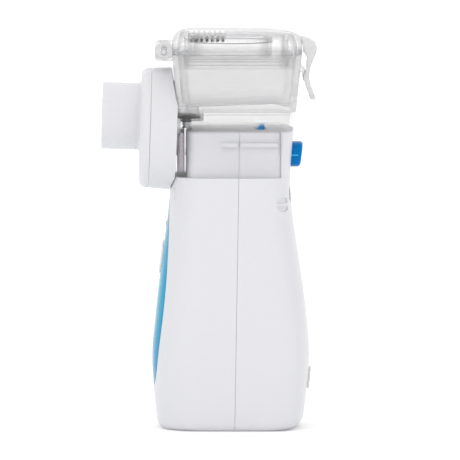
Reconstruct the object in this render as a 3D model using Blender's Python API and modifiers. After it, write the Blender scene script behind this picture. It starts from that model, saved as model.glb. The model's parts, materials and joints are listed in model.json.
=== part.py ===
"""Handheld mesh nebulizer that stands on its base.

A white two-shell body holds the batteries, the circuit board and the release latch.
A clear medicine cup slides onto the body's neck, with a vibrating mesh in its front,
a hinged lid on top and a pull-off mouthpiece adapter ahead of the mesh.

Every size below is in millimetres, and the mesh helpers turn it into metres.
The mouthpiece points along -Y, +Z is up, and the base stands on Z = 0.
"""

import math

import bmesh
import bpy
from mathutils import Matrix, Vector

MM = 0.001
GAP = 0.3
FAR = 60.0

# Outer surface of the casing: height, front, rear and half width.
CASING = (
    (0.0, -23.9, 23.3, 22.4),
    (9.0, -25.0, 24.4, 23.3),
    (24.0, -25.9, 25.7, 24.0),
    (38.0, -24.7, 24.7, 23.5),
    (54.0, -22.9, 22.5, 22.4),
    (68.0, -21.0, 20.4, 21.5),
    (76.0, -20.1, 19.7, 21.1),
    (83.0, -19.7, 19.5, 21.0),
    (98.2, -19.4, 20.6, 21.0),
)
CASING_LEVELS = (0.0, 0.35, 1.1, 2.4, 5.0, 9, 16, 24, 32, 40, 52, 64, 76, 83)
CASING_WALL = 2.2
FRONT_FOOT_RADIUS = 2.6
REAR_FOOT_RADIUS = 5.0
SHOULDER = 83.0

# Neck that the cup slides onto.
NECK_HALF_WIDTH = 18.5
NECK_FRONT = -14.8
NECK_REAR = 18.4
NECK_TOP = 98.1
NECK_CLEARANCE = 0.4
NECK_WALL = 1.6
BACKREST_FRONT = 17.8
RAIL_LOW, RAIL_HIGH = 93.2, 94.5
RAIL_FRONT, RAIL_REAR = -3.0, 15.4
RAIL_PROUD = 1.0

# Parting line between the shells, which leans back a little as it rises.
PARTING_BASE = 1.2
PARTING_LEAN = 0.0163

# Plan shapes: front power, front depth, rear power, rear depth.
CASING_PLAN = (2.6, 15.0, 3.2, 10.0)
NECK_PLAN = (3.5, 8.0, 3.5, 8.0)
CUP_PLAN = (3.5, 9.0, 3.5, 9.0)
HALF_PLAN_STEPS = 12

# Clear cup: base with its skirt, then the reservoir above it.
CUP_BASE = (
    (83.3, -18.2, 19.6, 21.0),
    (98.6, -18.2, 20.9, 21.1),
    (104.2, -18.2, 21.3, 21.25),
)
RESERVOIR = (
    (104.5, -17.7, 21.4, 21.3),
    (123.0, -19.4, 23.3, 22.0),
)
SKIRT_REAR = 16.2
SKIRT_REAR_ABOVE_RAIL = 17.4
PLATE_LOW, PLATE_HIGH = 98.6, 100.4
CUP_WALL = 1.8

# The cup's floor, as depth and height, and the trough that leads down it to the mesh.
FLOOR = ((-16.0, 106.3), (-8.7, 106.5), (12.4, 107.4), (19.7, 106.0))
TROUGH_HALF_WIDTH, KEEL_HALF_WIDTH = 11.0, 13.0
TROUGH = ((-11.6, 103.2), (-6.0, 103.4), (5.0, 104.9), (16.5, 106.0))
KEEL = ((-12.3, 101.4), (-6.0, 101.8), (5.0, 103.2), (17.5, 104.2))

# Mesh unit and mouthpiece adapter.
MESH_HEIGHT = 101.6
BOSS_RADIUS = 12.3
BOSS_FRONT, BOSS_SEAT, BOSS_BACK = -23.4, -18.6, -16.6
SEAT_RADIUS = 8.5
FLANGE_HEIGHT = 98.05
FLANGE_RADIUS = 20.2
FLANGE_FRONT_RADIUS = 19.7
FLANGE_FRONT, FLANGE_SPLIT, FLANGE_REAR = -29.9, -26.4, -17.7
TUBE_RADIUS, TUBE_BORE = 11.0, 9.4
TUBE_FRONT = -42.5
ADAPTER_TILT = math.radians(-1.8)

# Lid, its hinge and its latch.
LID_LOW, LID_SIDE_TOP, LID_TOP, LID_ROOF = 123.3, 125.4, 129.8, 2.0
ROOF_FALL = 1.5
LID = (-19.4, 23.4, 22.1)
LID_HINGE = (-22.0, 123.8)
KNUCKLE_RADIUS = 3.0
COLLAR_RADIUS, COLLAR_WALL, COLLAR_LOW = 13.4, 1.2, 121.9
SEAL_LOW, SEAL_HIGH, SEAL_THICKNESS = 118.6, 122.7, 1.3
VENT_COUNT, VENT_PITCH, VENT_FIRST = 7, 1.74, -13.1
VENT_WIDTH, VENT_HALF_LENGTH = 1.0, 7.3
LATCH_HINGE = (25.0, 126.5)
LATCH_HALF_WIDTH = 7.0

# Front panel: heights, half width, and the powers of its lower and upper halves.
PANEL_LOW, PANEL_WIDEST, PANEL_HIGH = 13.9, 36.0, 75.4
PANEL_HALF_WIDTH = 15.8
PANEL_LOWER_POWER, PANEL_UPPER_POWER = 3.0, 2.0
PANEL_THICKNESS = 1.0

# Indicator lens in the panel, above the power button.
LENS_HALF_WIDTH, LENS_LOW, LENS_HIGH = 2.6, 65.4, 67.6

# Power button, whose axis stands square to the leaning front.
BUTTON_CENTRE = (0.0, -22.65, 55.9)
BUTTON_LEAN = math.radians(7.7)
BUTTON_RADIUS = 5.5

# Release button and the sprung latch arm that it presses.
RELEASE_HEIGHT = 89.7
RELEASE_HALF_WIDTH, RELEASE_HALF_HEIGHT = 6.5, 4.2
RELEASE_REAR = 23.7
LATCH_ROOT = (-4.5, 94.0)
TOOTH_HALF_WIDTH = 5.0

# Two AA cells side by side, and the door below them.
CELL_RADIUS, CELL_LENGTH, CELL_LOW = 7.25, 50.5, 6.0
CELL_X, CELL_Y = 7.6, 11.4
DOOR_HINGE = (19.6, 1.6)
DOOR_HALF_WIDTH, DOOR_FRONT, DOOR_REAR, DOOR_TOP = 15.5, 3.9, 18.0, 2.6
DOOR_KNUCKLE_HALF = 7.5
DOOR_EDGE_SWING = 2.25

# Charging port in the rear, and the soft cover in its shallow recess.
PORT_HEIGHT = 16.3
COVER_HEIGHT, COVER_HALF_WIDTH, COVER_HALF_HEIGHT = 16.2, 6.9, 3.4
COVER_POWER, COVER_ROOM = 4.0, 0.4
PORT_COVER_HINGE = (25.55, 19.2)

# Strap eyelet: a round, shallow recess in the right side with a level bar across it.
STRAP_Y, STRAP_HEIGHT, STRAP_RADIUS = 17.2, 74.2, 2.3
STRAP_DEPTH, STRAP_BAR_HALF = 1.3, 0.45

# Electric contacts between the neck and the cup.
CONTACT_X, CONTACT_HEIGHT = 9.5, 90.5
STRIP_HALF_WIDTH, STRIP_LOW, STRIP_HIGH = 1.5, 87.2, 95.4
STRIP_FRONT, STRIP_REAR = -15.95, -15.35
PIN_Y, PIN_LOW, PIN_RADIUS = -14.6, 98.9, 1.5

# Case screws near the waist, and the hooks that hold the shells together at the foot.
SCREW_X, SCREW_HEIGHT, SCREW_HEAD_SEAT = 10.0, 77.0, 7.5
HOOK_X, HOOK_LOW, HOOK_HIGH = (17.0, 20.4), 6.4, 9.0

COLOURS = {
    "white_shell": ((0.83, 0.84, 0.86), 0.35, 0.0),
    "blue_panel": ((0.05, 0.42, 0.68), 0.2, 0.0),
    "pale_button": ((0.78, 0.82, 0.86), 0.3, 0.0),
    "blue_button": ((0.0, 0.2, 0.6), 0.3, 0.0),
    "clear_plastic": ((0.86, 0.87, 0.87), 0.08, 0.0),
    "clear_silicone": ((0.84, 0.83, 0.82), 0.4, 0.0),
    "grey_silicone": ((0.55, 0.54, 0.51), 0.6, 0.0),
    "steel": ((0.6, 0.6, 0.61), 0.3, 1.0),
    "gold_contact": ((0.78, 0.6, 0.27), 0.3, 1.0),
    "ceramic": ((0.75, 0.72, 0.64), 0.5, 0.0),
    "circuit_board": ((0.04, 0.26, 0.12), 0.4, 0.0),
    "black_plastic": ((0.03, 0.03, 0.035), 0.45, 0.0),
    "grey_plastic": ((0.3, 0.31, 0.33), 0.5, 0.0),
    "cell_wrap": ((0.1, 0.22, 0.5), 0.35, 0.3),
    "red_wire": ((0.6, 0.03, 0.03), 0.45, 0.0),
    "black_wire": ((0.03, 0.03, 0.03), 0.45, 0.0),
    "white_wire": ((0.8, 0.8, 0.78), 0.45, 0.0),
}


def clear_scene():
    for obj in list(bpy.data.objects):
        bpy.data.objects.remove(obj, do_unlink=True)


def new_collection(name):
    collection = bpy.data.collections.new(name)
    bpy.context.scene.collection.children.link(collection)
    return collection


clear_scene()
PARTS = new_collection("mesh_nebulizer")
CUTTERS = new_collection("cutters")


def material(name):
    """The named colour as a Principled material, made once."""
    found = bpy.data.materials.get(name)
    if found:
        return found
    colour, roughness, metallic = COLOURS[name]
    made = bpy.data.materials.new(name)
    made.use_nodes = True
    shader = made.node_tree.nodes["Principled BSDF"]
    shader.inputs["Base Color"].default_value = (*colour, 1.0)
    shader.inputs["Roughness"].default_value = roughness
    shader.inputs["Metallic"].default_value = metallic
    made.diffuse_color = (*colour, 1.0)
    return made


def add_mesh(name, mesh):
    obj = bpy.data.objects.new(name, mesh)
    PARTS.objects.link(obj)
    return obj


def finish(obj, finish_name, sharp=35.0):
    """Gives a part its material and smooth shading with sharp edges kept."""
    obj.data.materials.clear()
    obj.data.materials.append(material(finish_name))
    obj.data.shade_smooth()
    obj.data.set_sharp_from_angle(angle=math.radians(sharp))
    return obj


def from_bmesh(name, shape):
    bmesh.ops.recalc_face_normals(shape, faces=shape.faces)
    mesh = bpy.data.meshes.new(name)
    shape.to_mesh(mesh)
    shape.free()
    return add_mesh(name, mesh)


def block(name, low, high, bevel=0.0):
    """A box between two corners, with its edges rounded by bevel."""
    shape = bmesh.new()
    size = [(b - a) * MM for a, b in zip(low, high)]
    centre = [(a + b) / 2 * MM for a, b in zip(low, high)]
    bmesh.ops.create_cube(shape, size=1.0)
    bmesh.ops.scale(shape, vec=size, verts=shape.verts)
    bmesh.ops.translate(shape, vec=centre, verts=shape.verts)
    if bevel:
        bmesh.ops.bevel(
            shape, geom=shape.edges[:], offset=bevel * MM, segments=2, profile=0.5, affect="EDGES"
        )
    return from_bmesh(name, shape)


def rod(name, start, end, radius, sides=24, end_radius=None):
    """A cylinder or cone from one point to another."""
    start = Vector(start) * MM
    end = Vector(end) * MM
    along = end - start
    shape = bmesh.new()
    bmesh.ops.create_cone(
        shape,
        cap_ends=True,
        segments=sides,
        radius1=radius * MM,
        radius2=(radius if end_radius is None else end_radius) * MM,
        depth=along.length,
    )
    turn = along.to_track_quat("Z", "Y").to_matrix().to_4x4()
    bmesh.ops.transform(shape, matrix=Matrix.Translation((start + end) / 2) @ turn, verts=shape.verts)
    return from_bmesh(name, shape)


def applied(obj, name):
    """The object's evaluated mesh as a new welded object, in place of the first."""
    bpy.context.view_layer.update()
    evaluated = obj.evaluated_get(bpy.context.evaluated_depsgraph_get())
    mesh = bpy.data.meshes.new_from_object(evaluated)
    place = obj.matrix_world.copy()
    bpy.data.objects.remove(obj, do_unlink=True)
    shape = bmesh.new()
    shape.from_mesh(mesh)
    bmesh.ops.remove_doubles(shape, verts=shape.verts, dist=1e-6)
    bmesh.ops.recalc_face_normals(shape, faces=shape.faces)
    shape.to_mesh(mesh)
    shape.free()
    made = add_mesh(name, mesh)
    made.matrix_world = place
    return made


def turned(name, profile, centre, axis, steps=24):
    """A (radius, height) profile turned about an axis through centre, closed by the axis or by itself."""
    mesh = bpy.data.meshes.new(name)
    points = [(radius * MM, 0.0, height * MM) for radius, height in profile]
    edges = [(i, i + 1) for i in range(len(points) - 1)]
    if profile[0][0] > 0 or profile[-1][0] > 0:
        edges.append((len(points) - 1, 0))
    mesh.from_pydata(points, edges, [])
    obj = add_mesh(name + "_profile", mesh)
    screw = obj.modifiers.new("turn", "SCREW")
    screw.steps = steps
    screw.render_steps = steps
    screw.use_merge_vertices = True
    screw.merge_threshold = 1e-6
    turn = Vector(axis).to_track_quat("Z", "Y").to_matrix().to_4x4()
    obj.matrix_world = Matrix.Translation(Vector(centre) * MM) @ turn
    return applied(obj, name)


def slab(name, outline, axis, start, end):
    """A flat outline extruded along an axis. Along X it is given as (Y, Z), along Y as (X, Z)."""
    curve = bpy.data.curves.new(name, "CURVE")
    curve.dimensions = "2D"
    curve.fill_mode = "BOTH"
    curve.extrude = (end - start) / 2 * MM
    spline = curve.splines.new("POLY")
    spline.points.add(len(outline) - 1)
    for point, (u, v) in zip(spline.points, outline):
        point.co = (u * MM, v * MM, 0.0, 1.0)
    spline.use_cyclic_u = True
    obj = bpy.data.objects.new(name + "_outline", curve)
    PARTS.objects.link(obj)
    middle = (start + end) / 2 * MM
    if axis == "X":
        obj.matrix_world = Matrix(((0, 0, 1, middle), (1, 0, 0, 0), (0, 1, 0, 0), (0, 0, 0, 1)))
    else:
        obj.matrix_world = Matrix(((1, 0, 0, 0), (0, 0, -1, middle), (0, 1, 0, 0), (0, 0, 0, 1)))
    return applied(obj, name)


def wire(name, points, radius, bevel_resolution=2):
    """A round wire along a list of points, with flat ends."""
    curve = bpy.data.curves.new(name, "CURVE")
    curve.dimensions = "3D"
    curve.bevel_depth = radius * MM
    curve.bevel_resolution = bevel_resolution
    curve.use_fill_caps = True
    spline = curve.splines.new("POLY")
    spline.points.add(len(points) - 1)
    for point, place in zip(spline.points, points):
        point.co = (*(Vector(place) * MM), 1.0)
    obj = bpy.data.objects.new(name, curve)
    PARTS.objects.link(obj)
    return obj


def curve_through(knots, steps):
    """Points along a smooth curve through the knots."""
    knots = [Vector(knot) for knot in knots]
    padded = [2 * knots[0] - knots[1], *knots, 2 * knots[-1] - knots[-2]]
    points = []
    for i in range(1, len(padded) - 2):
        before, first, second, after = padded[i - 1 : i + 3]
        for step in range(steps):
            t = step / steps
            points.append(
                first
                + (second - before) * (t / 2)
                + (2 * before - 5 * first + 4 * second - after) * (t * t / 2)
                + (3 * first - before - 3 * second + after) * (t * t * t / 2)
            )
    points.append(knots[-1])
    return points


def coil(centre, axis, radius, length, turns, points_per_turn=8):
    """Points of a helix that starts at centre and runs along axis."""
    turn = Vector(axis).to_track_quat("Z", "Y")
    count = int(turns * points_per_turn)
    return [
        Vector(centre)
        + turn
        @ Vector(
            (
                radius * math.cos(math.tau * i / points_per_turn),
                radius * math.sin(math.tau * i / points_per_turn),
                length * i / count,
            )
        )
        for i in range(count + 1)
    ]


def use(obj, tool, operation):
    """Adds a Boolean and puts its tool away with the cutters."""
    modifier = obj.modifiers.new(tool.name, "BOOLEAN")
    modifier.operation = operation
    modifier.object = tool
    if tool.name not in CUTTERS.objects:
        PARTS.objects.unlink(tool)
        CUTTERS.objects.link(tool)
        tool.hide_render = True
        tool.display_type = "WIRE"
    return obj


def cut(obj, *tools):
    for tool in tools:
        use(obj, tool, "DIFFERENCE")
    return obj


def join(obj, *tools):
    for tool in tools:
        use(obj, tool, "UNION")
    return obj


def keep(obj, tool):
    return use(obj, tool, "INTERSECT")


def smooth(rows, height):
    """The rows' values at a height, on a cubic through them."""
    index = 0
    while index < len(rows) - 2 and height > rows[index + 1][0]:
        index += 1
    low, high = rows[index], rows[index + 1]
    before = rows[max(index - 1, 0)]
    after = rows[min(index + 2, len(rows) - 1)]
    span = high[0] - low[0]
    t = (height - low[0]) / span
    values = []
    for column in range(1, len(low)):
        rise_low = (high[column] - before[column]) / (high[0] - before[0]) * span
        rise_high = (after[column] - low[column]) / (after[0] - low[0]) * span
        values.append(
            low[column] * (2 * t**3 - 3 * t**2 + 1)
            + rise_low * (t**3 - 2 * t**2 + t)
            + high[column] * (3 * t**2 - 2 * t**3)
            + rise_high * (t**3 - t**2)
        )
    return values


def superellipse(angle, power):
    """A point of the unit superellipse at an angle."""
    c, s = math.cos(angle), math.sin(angle)
    return (
        math.copysign(abs(c) ** (2 / power), c),
        math.copysign(abs(s) ** (2 / power), s),
    )


def plan_ring(front, rear, half_width, shape, height, inset=0.0):
    """One level of a casing or cup: rounded front and rear ends, with straight sides between."""
    front_power, front_depth, rear_power, rear_depth = shape
    front, rear, half_width = front + inset, rear - inset, half_width - inset
    front_depth, rear_depth = front_depth - inset, rear_depth - inset
    ring = []
    for step in range(HALF_PLAN_STEPS + 1):
        x, y = superellipse(math.pi * (1 + step / HALF_PLAN_STEPS), front_power)
        ring.append((x * half_width, front + front_depth + y * front_depth, height))
    for step in range(HALF_PLAN_STEPS + 1):
        x, y = superellipse(math.pi * step / HALF_PLAN_STEPS, rear_power)
        ring.append((x * half_width, rear - rear_depth + y * rear_depth, height))
    return ring


def loft(name, rings):
    """A closed solid through rings of equal count, from the lowest up."""
    shape = bmesh.new()
    levels = [[shape.verts.new(Vector(point) * MM) for point in ring] for ring in rings]
    count = len(rings[0])
    for lower, upper in zip(levels, levels[1:]):
        for i in range(count):
            j = (i + 1) % count
            shape.faces.new((lower[i], lower[j], upper[j], upper[i]))
    for level in (levels[0], levels[-1]):
        cap(shape, level)
    return from_bmesh(name, shape)


def cap(shape, ring):
    """Closes a plan ring with strips that run straight across it, from side to side."""
    steps = HALF_PLAN_STEPS
    front, rear = ring[: steps + 1], ring[steps + 1 :]
    shape.faces.new((front[0], front[-1], rear[0], rear[-1]))
    for end in (front, rear):
        for k in range(steps // 2):
            corners = [end[k], end[k + 1], end[steps - k - 1], end[steps - k]]
            if corners[1] == corners[2]:
                corners.pop(2)
            shape.faces.new(corners)


def foot_inset(height, radius):
    """How far the rounded foot draws the surface in at a height."""
    if height >= radius:
        return 0.0
    return radius - math.sqrt(radius**2 - (radius - height) ** 2)


def casing_ring(height, inset=0.0):
    front, rear, half_width = smooth(CASING, height)
    front += foot_inset(height, FRONT_FOOT_RADIUS)
    half_width -= foot_inset(height, FRONT_FOOT_RADIUS)
    rear -= foot_inset(height, REAR_FOOT_RADIUS)
    return plan_ring(front, rear, half_width, CASING_PLAN, height, inset)


def casing_form(name, inset, low, high):
    """The casing's outer form, drawn in by inset, between two heights."""
    levels = [low, *(z for z in CASING_LEVELS if low + 0.2 < z < high - 0.2), high]
    return loft(name, [casing_ring(z, inset) for z in levels])


def rows_form(name, rows, shape, inset=0.0, low=None, high=None):
    """A form through the rows of the cup's base or reservoir."""
    low = rows[0][0] if low is None else low
    high = rows[-1][0] if high is None else high
    levels = sorted({low, *(row[0] for row in rows if low < row[0] < high), high})
    return loft(name, [plan_ring(*smooth(rows, z), shape, z, inset) for z in levels])


def neck_form(name, inset, low, high):
    return loft(
        name,
        [
            plan_ring(NECK_FRONT, NECK_REAR, NECK_HALF_WIDTH, NECK_PLAN, z, inset)
            for z in (low, high)
        ],
    )


def parting_at(height):
    return PARTING_BASE + PARTING_LEAN * height


def half_space(name, side):
    """Everything ahead of the parting line (side -1) or behind it (side +1)."""
    low, high = -5.0, 105.0
    outline = [
        (parting_at(low) + side * GAP / 2, low),
        (side * FAR, low),
        (side * FAR, high),
        (parting_at(high) + side * GAP / 2, high),
    ]
    return slab(name, outline, "X", -FAR, FAR)


def casing(name, side):
    """The hollow casing with its neck, kept on one side of the parting line."""
    tag = "front" if side < 0 else "rear"
    body = casing_form(name, 0.0, 0.0, SHOULDER)
    neck = neck_form(f"{tag}_neck_form", 0.0, SHOULDER - 2, NECK_TOP)
    join(body, neck)
    if side > 0:
        backrest = loft(
            "backrest_form",
            [casing_ring(z, 0.05) for z in (SHOULDER - 1, 88, 93, 98.2)],
        )
        keep(backrest, block("backrest_limit", (-FAR, BACKREST_FRONT, 70), (FAR, FAR, 110)))
        join(body, backrest)
    cut(
        body,
        casing_form(f"{tag}_cavity", CASING_WALL, CASING_WALL, SHOULDER - 1.8),
        neck_form(f"{tag}_neck_cavity", NECK_WALL, SHOULDER - 3, NECK_TOP - NECK_WALL),
    )
    return keep(body, half_space(f"{tag}_half", side))


def rail(side, tag, extra=0.0, front=RAIL_FRONT, rear=RAIL_REAR):
    """A rail on the neck's side, or with extra the slot that it runs in."""
    inner = side * (NECK_HALF_WIDTH - 0.6)
    outer = side * (NECK_HALF_WIDTH + RAIL_PROUD + extra)
    return block(
        f"rail_{tag}_{'right' if side > 0 else 'left'}",
        (min(inner, outer), front - extra, RAIL_LOW - extra),
        (max(inner, outer), rear, RAIL_HIGH + extra),
    )


def panel_outline(grow=0.0):
    points = []
    steps = 40
    for step in range(steps):
        angle = math.tau * step / steps
        upper = math.sin(angle) >= 0
        x, z = superellipse(angle, PANEL_UPPER_POWER if upper else PANEL_LOWER_POWER)
        rise = (PANEL_HIGH if upper else 2 * PANEL_WIDEST - PANEL_LOW) - PANEL_WIDEST
        points.append((x * (PANEL_HALF_WIDTH + grow), PANEL_WIDEST + z * (rise + grow)))
    return points


def button_point(depth):
    """A point on the power button's axis, depth behind the panel's face."""
    x, y, z = BUTTON_CENTRE
    return (x, y + depth * math.cos(BUTTON_LEAN), z - depth * math.sin(BUTTON_LEAN))


def lens_hole(name):
    reach = LENS_HALF_WIDTH + GAP
    return block(name, (-reach, -30, LENS_LOW - GAP), (reach, -15, LENS_HIGH + GAP))


def front_shell():
    shell = casing("front_shell", -1)
    for side, tag in ((-1, "left"), (1, "right")):
        x, z = side * SCREW_X, SCREW_HEIGHT
        join(shell, rod(f"front_boss_{tag}", (x, -18.6, z), (x, parting_at(z) - GAP / 2, z), 3.0, 14))
        cut(shell, rod(f"front_pilot_{tag}", (x, -8, z), (x, 4, z), 1.3, 12))
        near, far = sorted(side * edge for edge in HOOK_X)
        join(shell, block(f"foot_hook_{tag}", (near, -4.0, HOOK_LOW), (far, 4.6, HOOK_HIGH)))
        wall = sorted((side * HOOK_X[0], side * (HOOK_X[1] + 1.6)))
        join(shell, block(f"hook_root_{tag}", (wall[0], -4.0, HOOK_LOW), (wall[1], -1.0, HOOK_HIGH)))
        rail_front = rail(side, "front", rear=parting_at(RAIL_LOW) - GAP)
        join(shell, rail_front)
        x, z = side * CONTACT_X, CONTACT_HEIGHT
        cut(shell, rod(f"contact_hole_{tag}", (x, -18.0, z), (x, -11.0, z), 1.3, 12))
    pocket = slab("panel_pocket", panel_outline(GAP), "Y", -FAR, -8.0)
    cut(pocket, casing_form("pocket_floor", PANEL_THICKNESS + GAP, 0.0, SHOULDER))
    cut(shell, pocket)
    cut(shell, rod("button_hole", button_point(-6), button_point(8), BUTTON_RADIUS + 0.4, 32))
    cut(shell, lens_hole("lens_hole"))
    return finish(shell, "white_shell")


def front_panel():
    panel = casing_form("front_panel", 0.0, 0.0, SHOULDER)
    keep(panel, slab("panel_limit", panel_outline(), "Y", -FAR, -8.0))
    cut(panel, casing_form("panel_back", PANEL_THICKNESS, 0.0, SHOULDER))
    cut(panel, rod("panel_button_hole", button_point(-6), button_point(8), BUTTON_RADIUS + 0.4, 32))
    cut(panel, lens_hole("panel_lens_hole"))
    return finish(panel, "blue_panel")


def oval(half_width, half_height, centre_height, steps=28, power=2.5):
    points = []
    for step in range(steps):
        x, z = superellipse(math.tau * step / steps, power)
        points.append((x * half_width, centre_height + z * half_height))
    return points


def cover_outline(grow=0.0):
    half_width, half_height = COVER_HALF_WIDTH + grow, COVER_HALF_HEIGHT + grow
    return oval(half_width, half_height, COVER_HEIGHT, 24, COVER_POWER)


def rear_shell():
    shell = casing("rear_shell", 1)
    for side, tag in ((-1, "left"), (1, "right")):
        x, z = side * SCREW_X, SCREW_HEIGHT
        join(shell, rod(f"rear_post_{tag}", (x, parting_at(z) + GAP / 2, z), (x, 17.2, z), 3.3, 14))
        cut(
            shell,
            rod(f"screw_well_{tag}", (x, SCREW_HEAD_SEAT, z), (x, FAR, z), 2.5, 14),
            rod(f"screw_hole_{tag}", (x, -4, z), (x, 12, z), 1.35, 12),
        )
        rail_rear = rail(side, "rear", front=parting_at(RAIL_LOW) + GAP)
        join(shell, rail_rear)
        boss = (side * 9.3 - 1.1, 18.2, 1.0), (side * 9.3 + 1.1, 21.2, 4.4)
        join(shell, block(f"door_boss_{tag}", *boss))
    hinge_y, hinge_z = DOOR_HINGE
    reach = DOOR_KNUCKLE_HALF + GAP
    cut(
        shell,
        block(
            "door_opening",
            (-DOOR_HALF_WIDTH - GAP, DOOR_FRONT - GAP, -5),
            (DOOR_HALF_WIDTH + GAP, DOOR_REAR + GAP, 4.2),
        ),
        block("knuckle_opening", (-reach, 17.5, -5), (reach, hinge_y, 4.2)),
        rod("knuckle_sweep", (-reach, hinge_y, hinge_z), (reach, hinge_y, hinge_z), 2.05, 24),
        rod("pivot_bore", (-9.2, hinge_y, hinge_z), (9.2, hinge_y, hinge_z), 1.1, 16),
        block("port_opening", (-4.2, 18.0, PORT_HEIGHT - 1.9), (4.2, FAR, PORT_HEIGHT + 1.9)),
    )
    recess = slab("cover_recess", cover_outline(COVER_ROOM), "Y", 20.0, FAR)
    cut(recess, casing_form("recess_floor", 0.9, 0.0, SHOULDER))
    cut(shell, recess)
    release_hole = oval(RELEASE_HALF_WIDTH + 0.35, RELEASE_HALF_HEIGHT + 0.35, RELEASE_HEIGHT)
    cut(
        shell,
        slab("release_hole", release_hole, "Y", 16.0, FAR),
        block("latch_slot", (-5.4, 7.8, 94), (5.4, 11.3, 105)),
    )
    half_seat = [(5.6, 92.2), (5.6, 97.5), (7.2, 97.5), (7.2, 84.5)]
    seat_outline = [*half_seat, *((-x, z) for x, z in reversed(half_seat))]
    join(shell, slab("spring_seat", seat_outline, "Y", 6.0, 7.6))
    y, z = STRAP_Y, STRAP_HEIGHT
    eyelet = rod("strap_recess", (15, y, z), (30, y, z), STRAP_RADIUS, 20)
    cut(
        eyelet,
        casing_form("strap_floor", STRAP_DEPTH, 60.0, SHOULDER),
        block("strap_bar", (15, y - 4, z - STRAP_BAR_HALF), (40, y + 4, z + STRAP_BAR_HALF)),
    )
    cut(shell, eyelet)
    return finish(shell, "white_shell")


def power_button():
    radius = BUTTON_RADIUS
    profile = (
        (0.0, 0.75),
        (3.0, 0.7),
        (4.9, 0.45),
        (radius, 0.0),
        (radius, -3.6),
        (6.6, -3.6),
        (6.6, -4.6),
        (1.6, -4.6),
        (1.6, -6.6),
        (0.0, -6.6),
    )
    outward = Vector(button_point(-1)) - Vector(button_point(0))
    button = turned("power_button", profile, BUTTON_CENTRE, outward)
    return finish(button, "pale_button")


def indicator_lens():
    low = (-LENS_HALF_WIDTH, -21.35, LENS_LOW)
    high = (LENS_HALF_WIDTH, -18.2, LENS_HIGH)
    lens = block("indicator_lens", low, high, 0.25)
    return finish(lens, "clear_silicone")


def circuit():
    """The control board inside the front, with what is soldered to it."""
    board = block("main_board", (-12, -12.8, 22), (12, -11.2, 72))
    finish(board, "circuit_board")
    switch = block("tact_switch", (-3.1, -16.2, 51.6), (3.1, -13.1, 57.8), 0.2)
    cut(switch, rod("plunger_hole", button_point(4), button_point(9.0), 1.9, 16))
    finish(switch, "black_plastic")
    plunger = rod("switch_plunger", button_point(6.95), button_point(8.3), 1.5, 16)
    finish(plunger, "pale_button")
    chip = block("control_chip", (-5, -10.9, 40), (5, -9.3, 50), 0.2)
    finish(chip, "black_plastic")
    upper = ((0.0, 2.6), (4.4, 2.6), (4.4, 1.7), (3.0, 1.5))
    profile = (*upper, *((radius, -height) for radius, height in reversed(upper)))
    inductor = turned("power_inductor", profile, (0, -8.2, 66), (0, 1, 0), 20)
    finish(inductor, "grey_plastic")
    led = block("indicator_led", (-1.6, -14.6, 65.7), (1.6, -13.1, 67.3), 0.2)
    finish(led, "clear_silicone")


def cells_and_contacts():
    cradle = block("battery_cradle", (-15.0, 2.6, 14.0), (15.0, 10.6, 62.5), 0.3)
    for side, tag in ((-1, "left"), (1, "right")):
        bore = rod(f"cell_bore_{tag}", (side * CELL_X, CELL_Y, 0), (side * CELL_X, CELL_Y, 60.8), 7.6, 32)
        cut(cradle, bore)
    finish(cradle, "grey_plastic")
    top = CELL_LOW + CELL_LENGTH
    for side, tag in ((-1, "left"), (1, "right")):
        up = side < 0
        profile = ((0.0, 0.0), (2.7, 0.0), (2.7, -1.2), (6.4, -1.3), (CELL_RADIUS, -2.0))
        profile += ((CELL_RADIUS, 0.6 - CELL_LENGTH), (6.5, -CELL_LENGTH), (0.0, -CELL_LENGTH))
        base = (side * CELL_X, CELL_Y, top if up else CELL_LOW)
        cell = turned(f"battery_cell_{tag}", profile, base, (0, 0, 1 if up else -1), 28)
        finish(cell, "cell_wrap")
    plate = block("battery_plate_top", (-11.5, 8.0, top + GAP), (-3.7, 13.0, top + GAP + 0.4))
    join(plate, block("plate_riser", (-9.0, 12.2, top + 0.4), (-6.2, 12.7, 64.6)))
    finish(plate, "gold_contact")
    spring = wire("battery_spring_top", coil((CELL_X, CELL_Y, top + 0.65), (0, 0, 1), 3.0, 3.2, 3), 0.3)
    spring.data.materials.append(material("steel"))


def screws():
    for side, tag in ((-1, "left"), (1, "right")):
        profile = ((0.0, 2.0), (1.4, 2.0), (2.1, 1.3), (2.1, 0.0), (1.0, 0.0), (1.0, -10.5), (0.0, -11.2))
        seat = (side * SCREW_X, SCREW_HEAD_SEAT + GAP, SCREW_HEIGHT)
        finish(turned(f"case_screw_{tag}", profile, seat, (0, 1, 0), 14), "steel")


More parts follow.
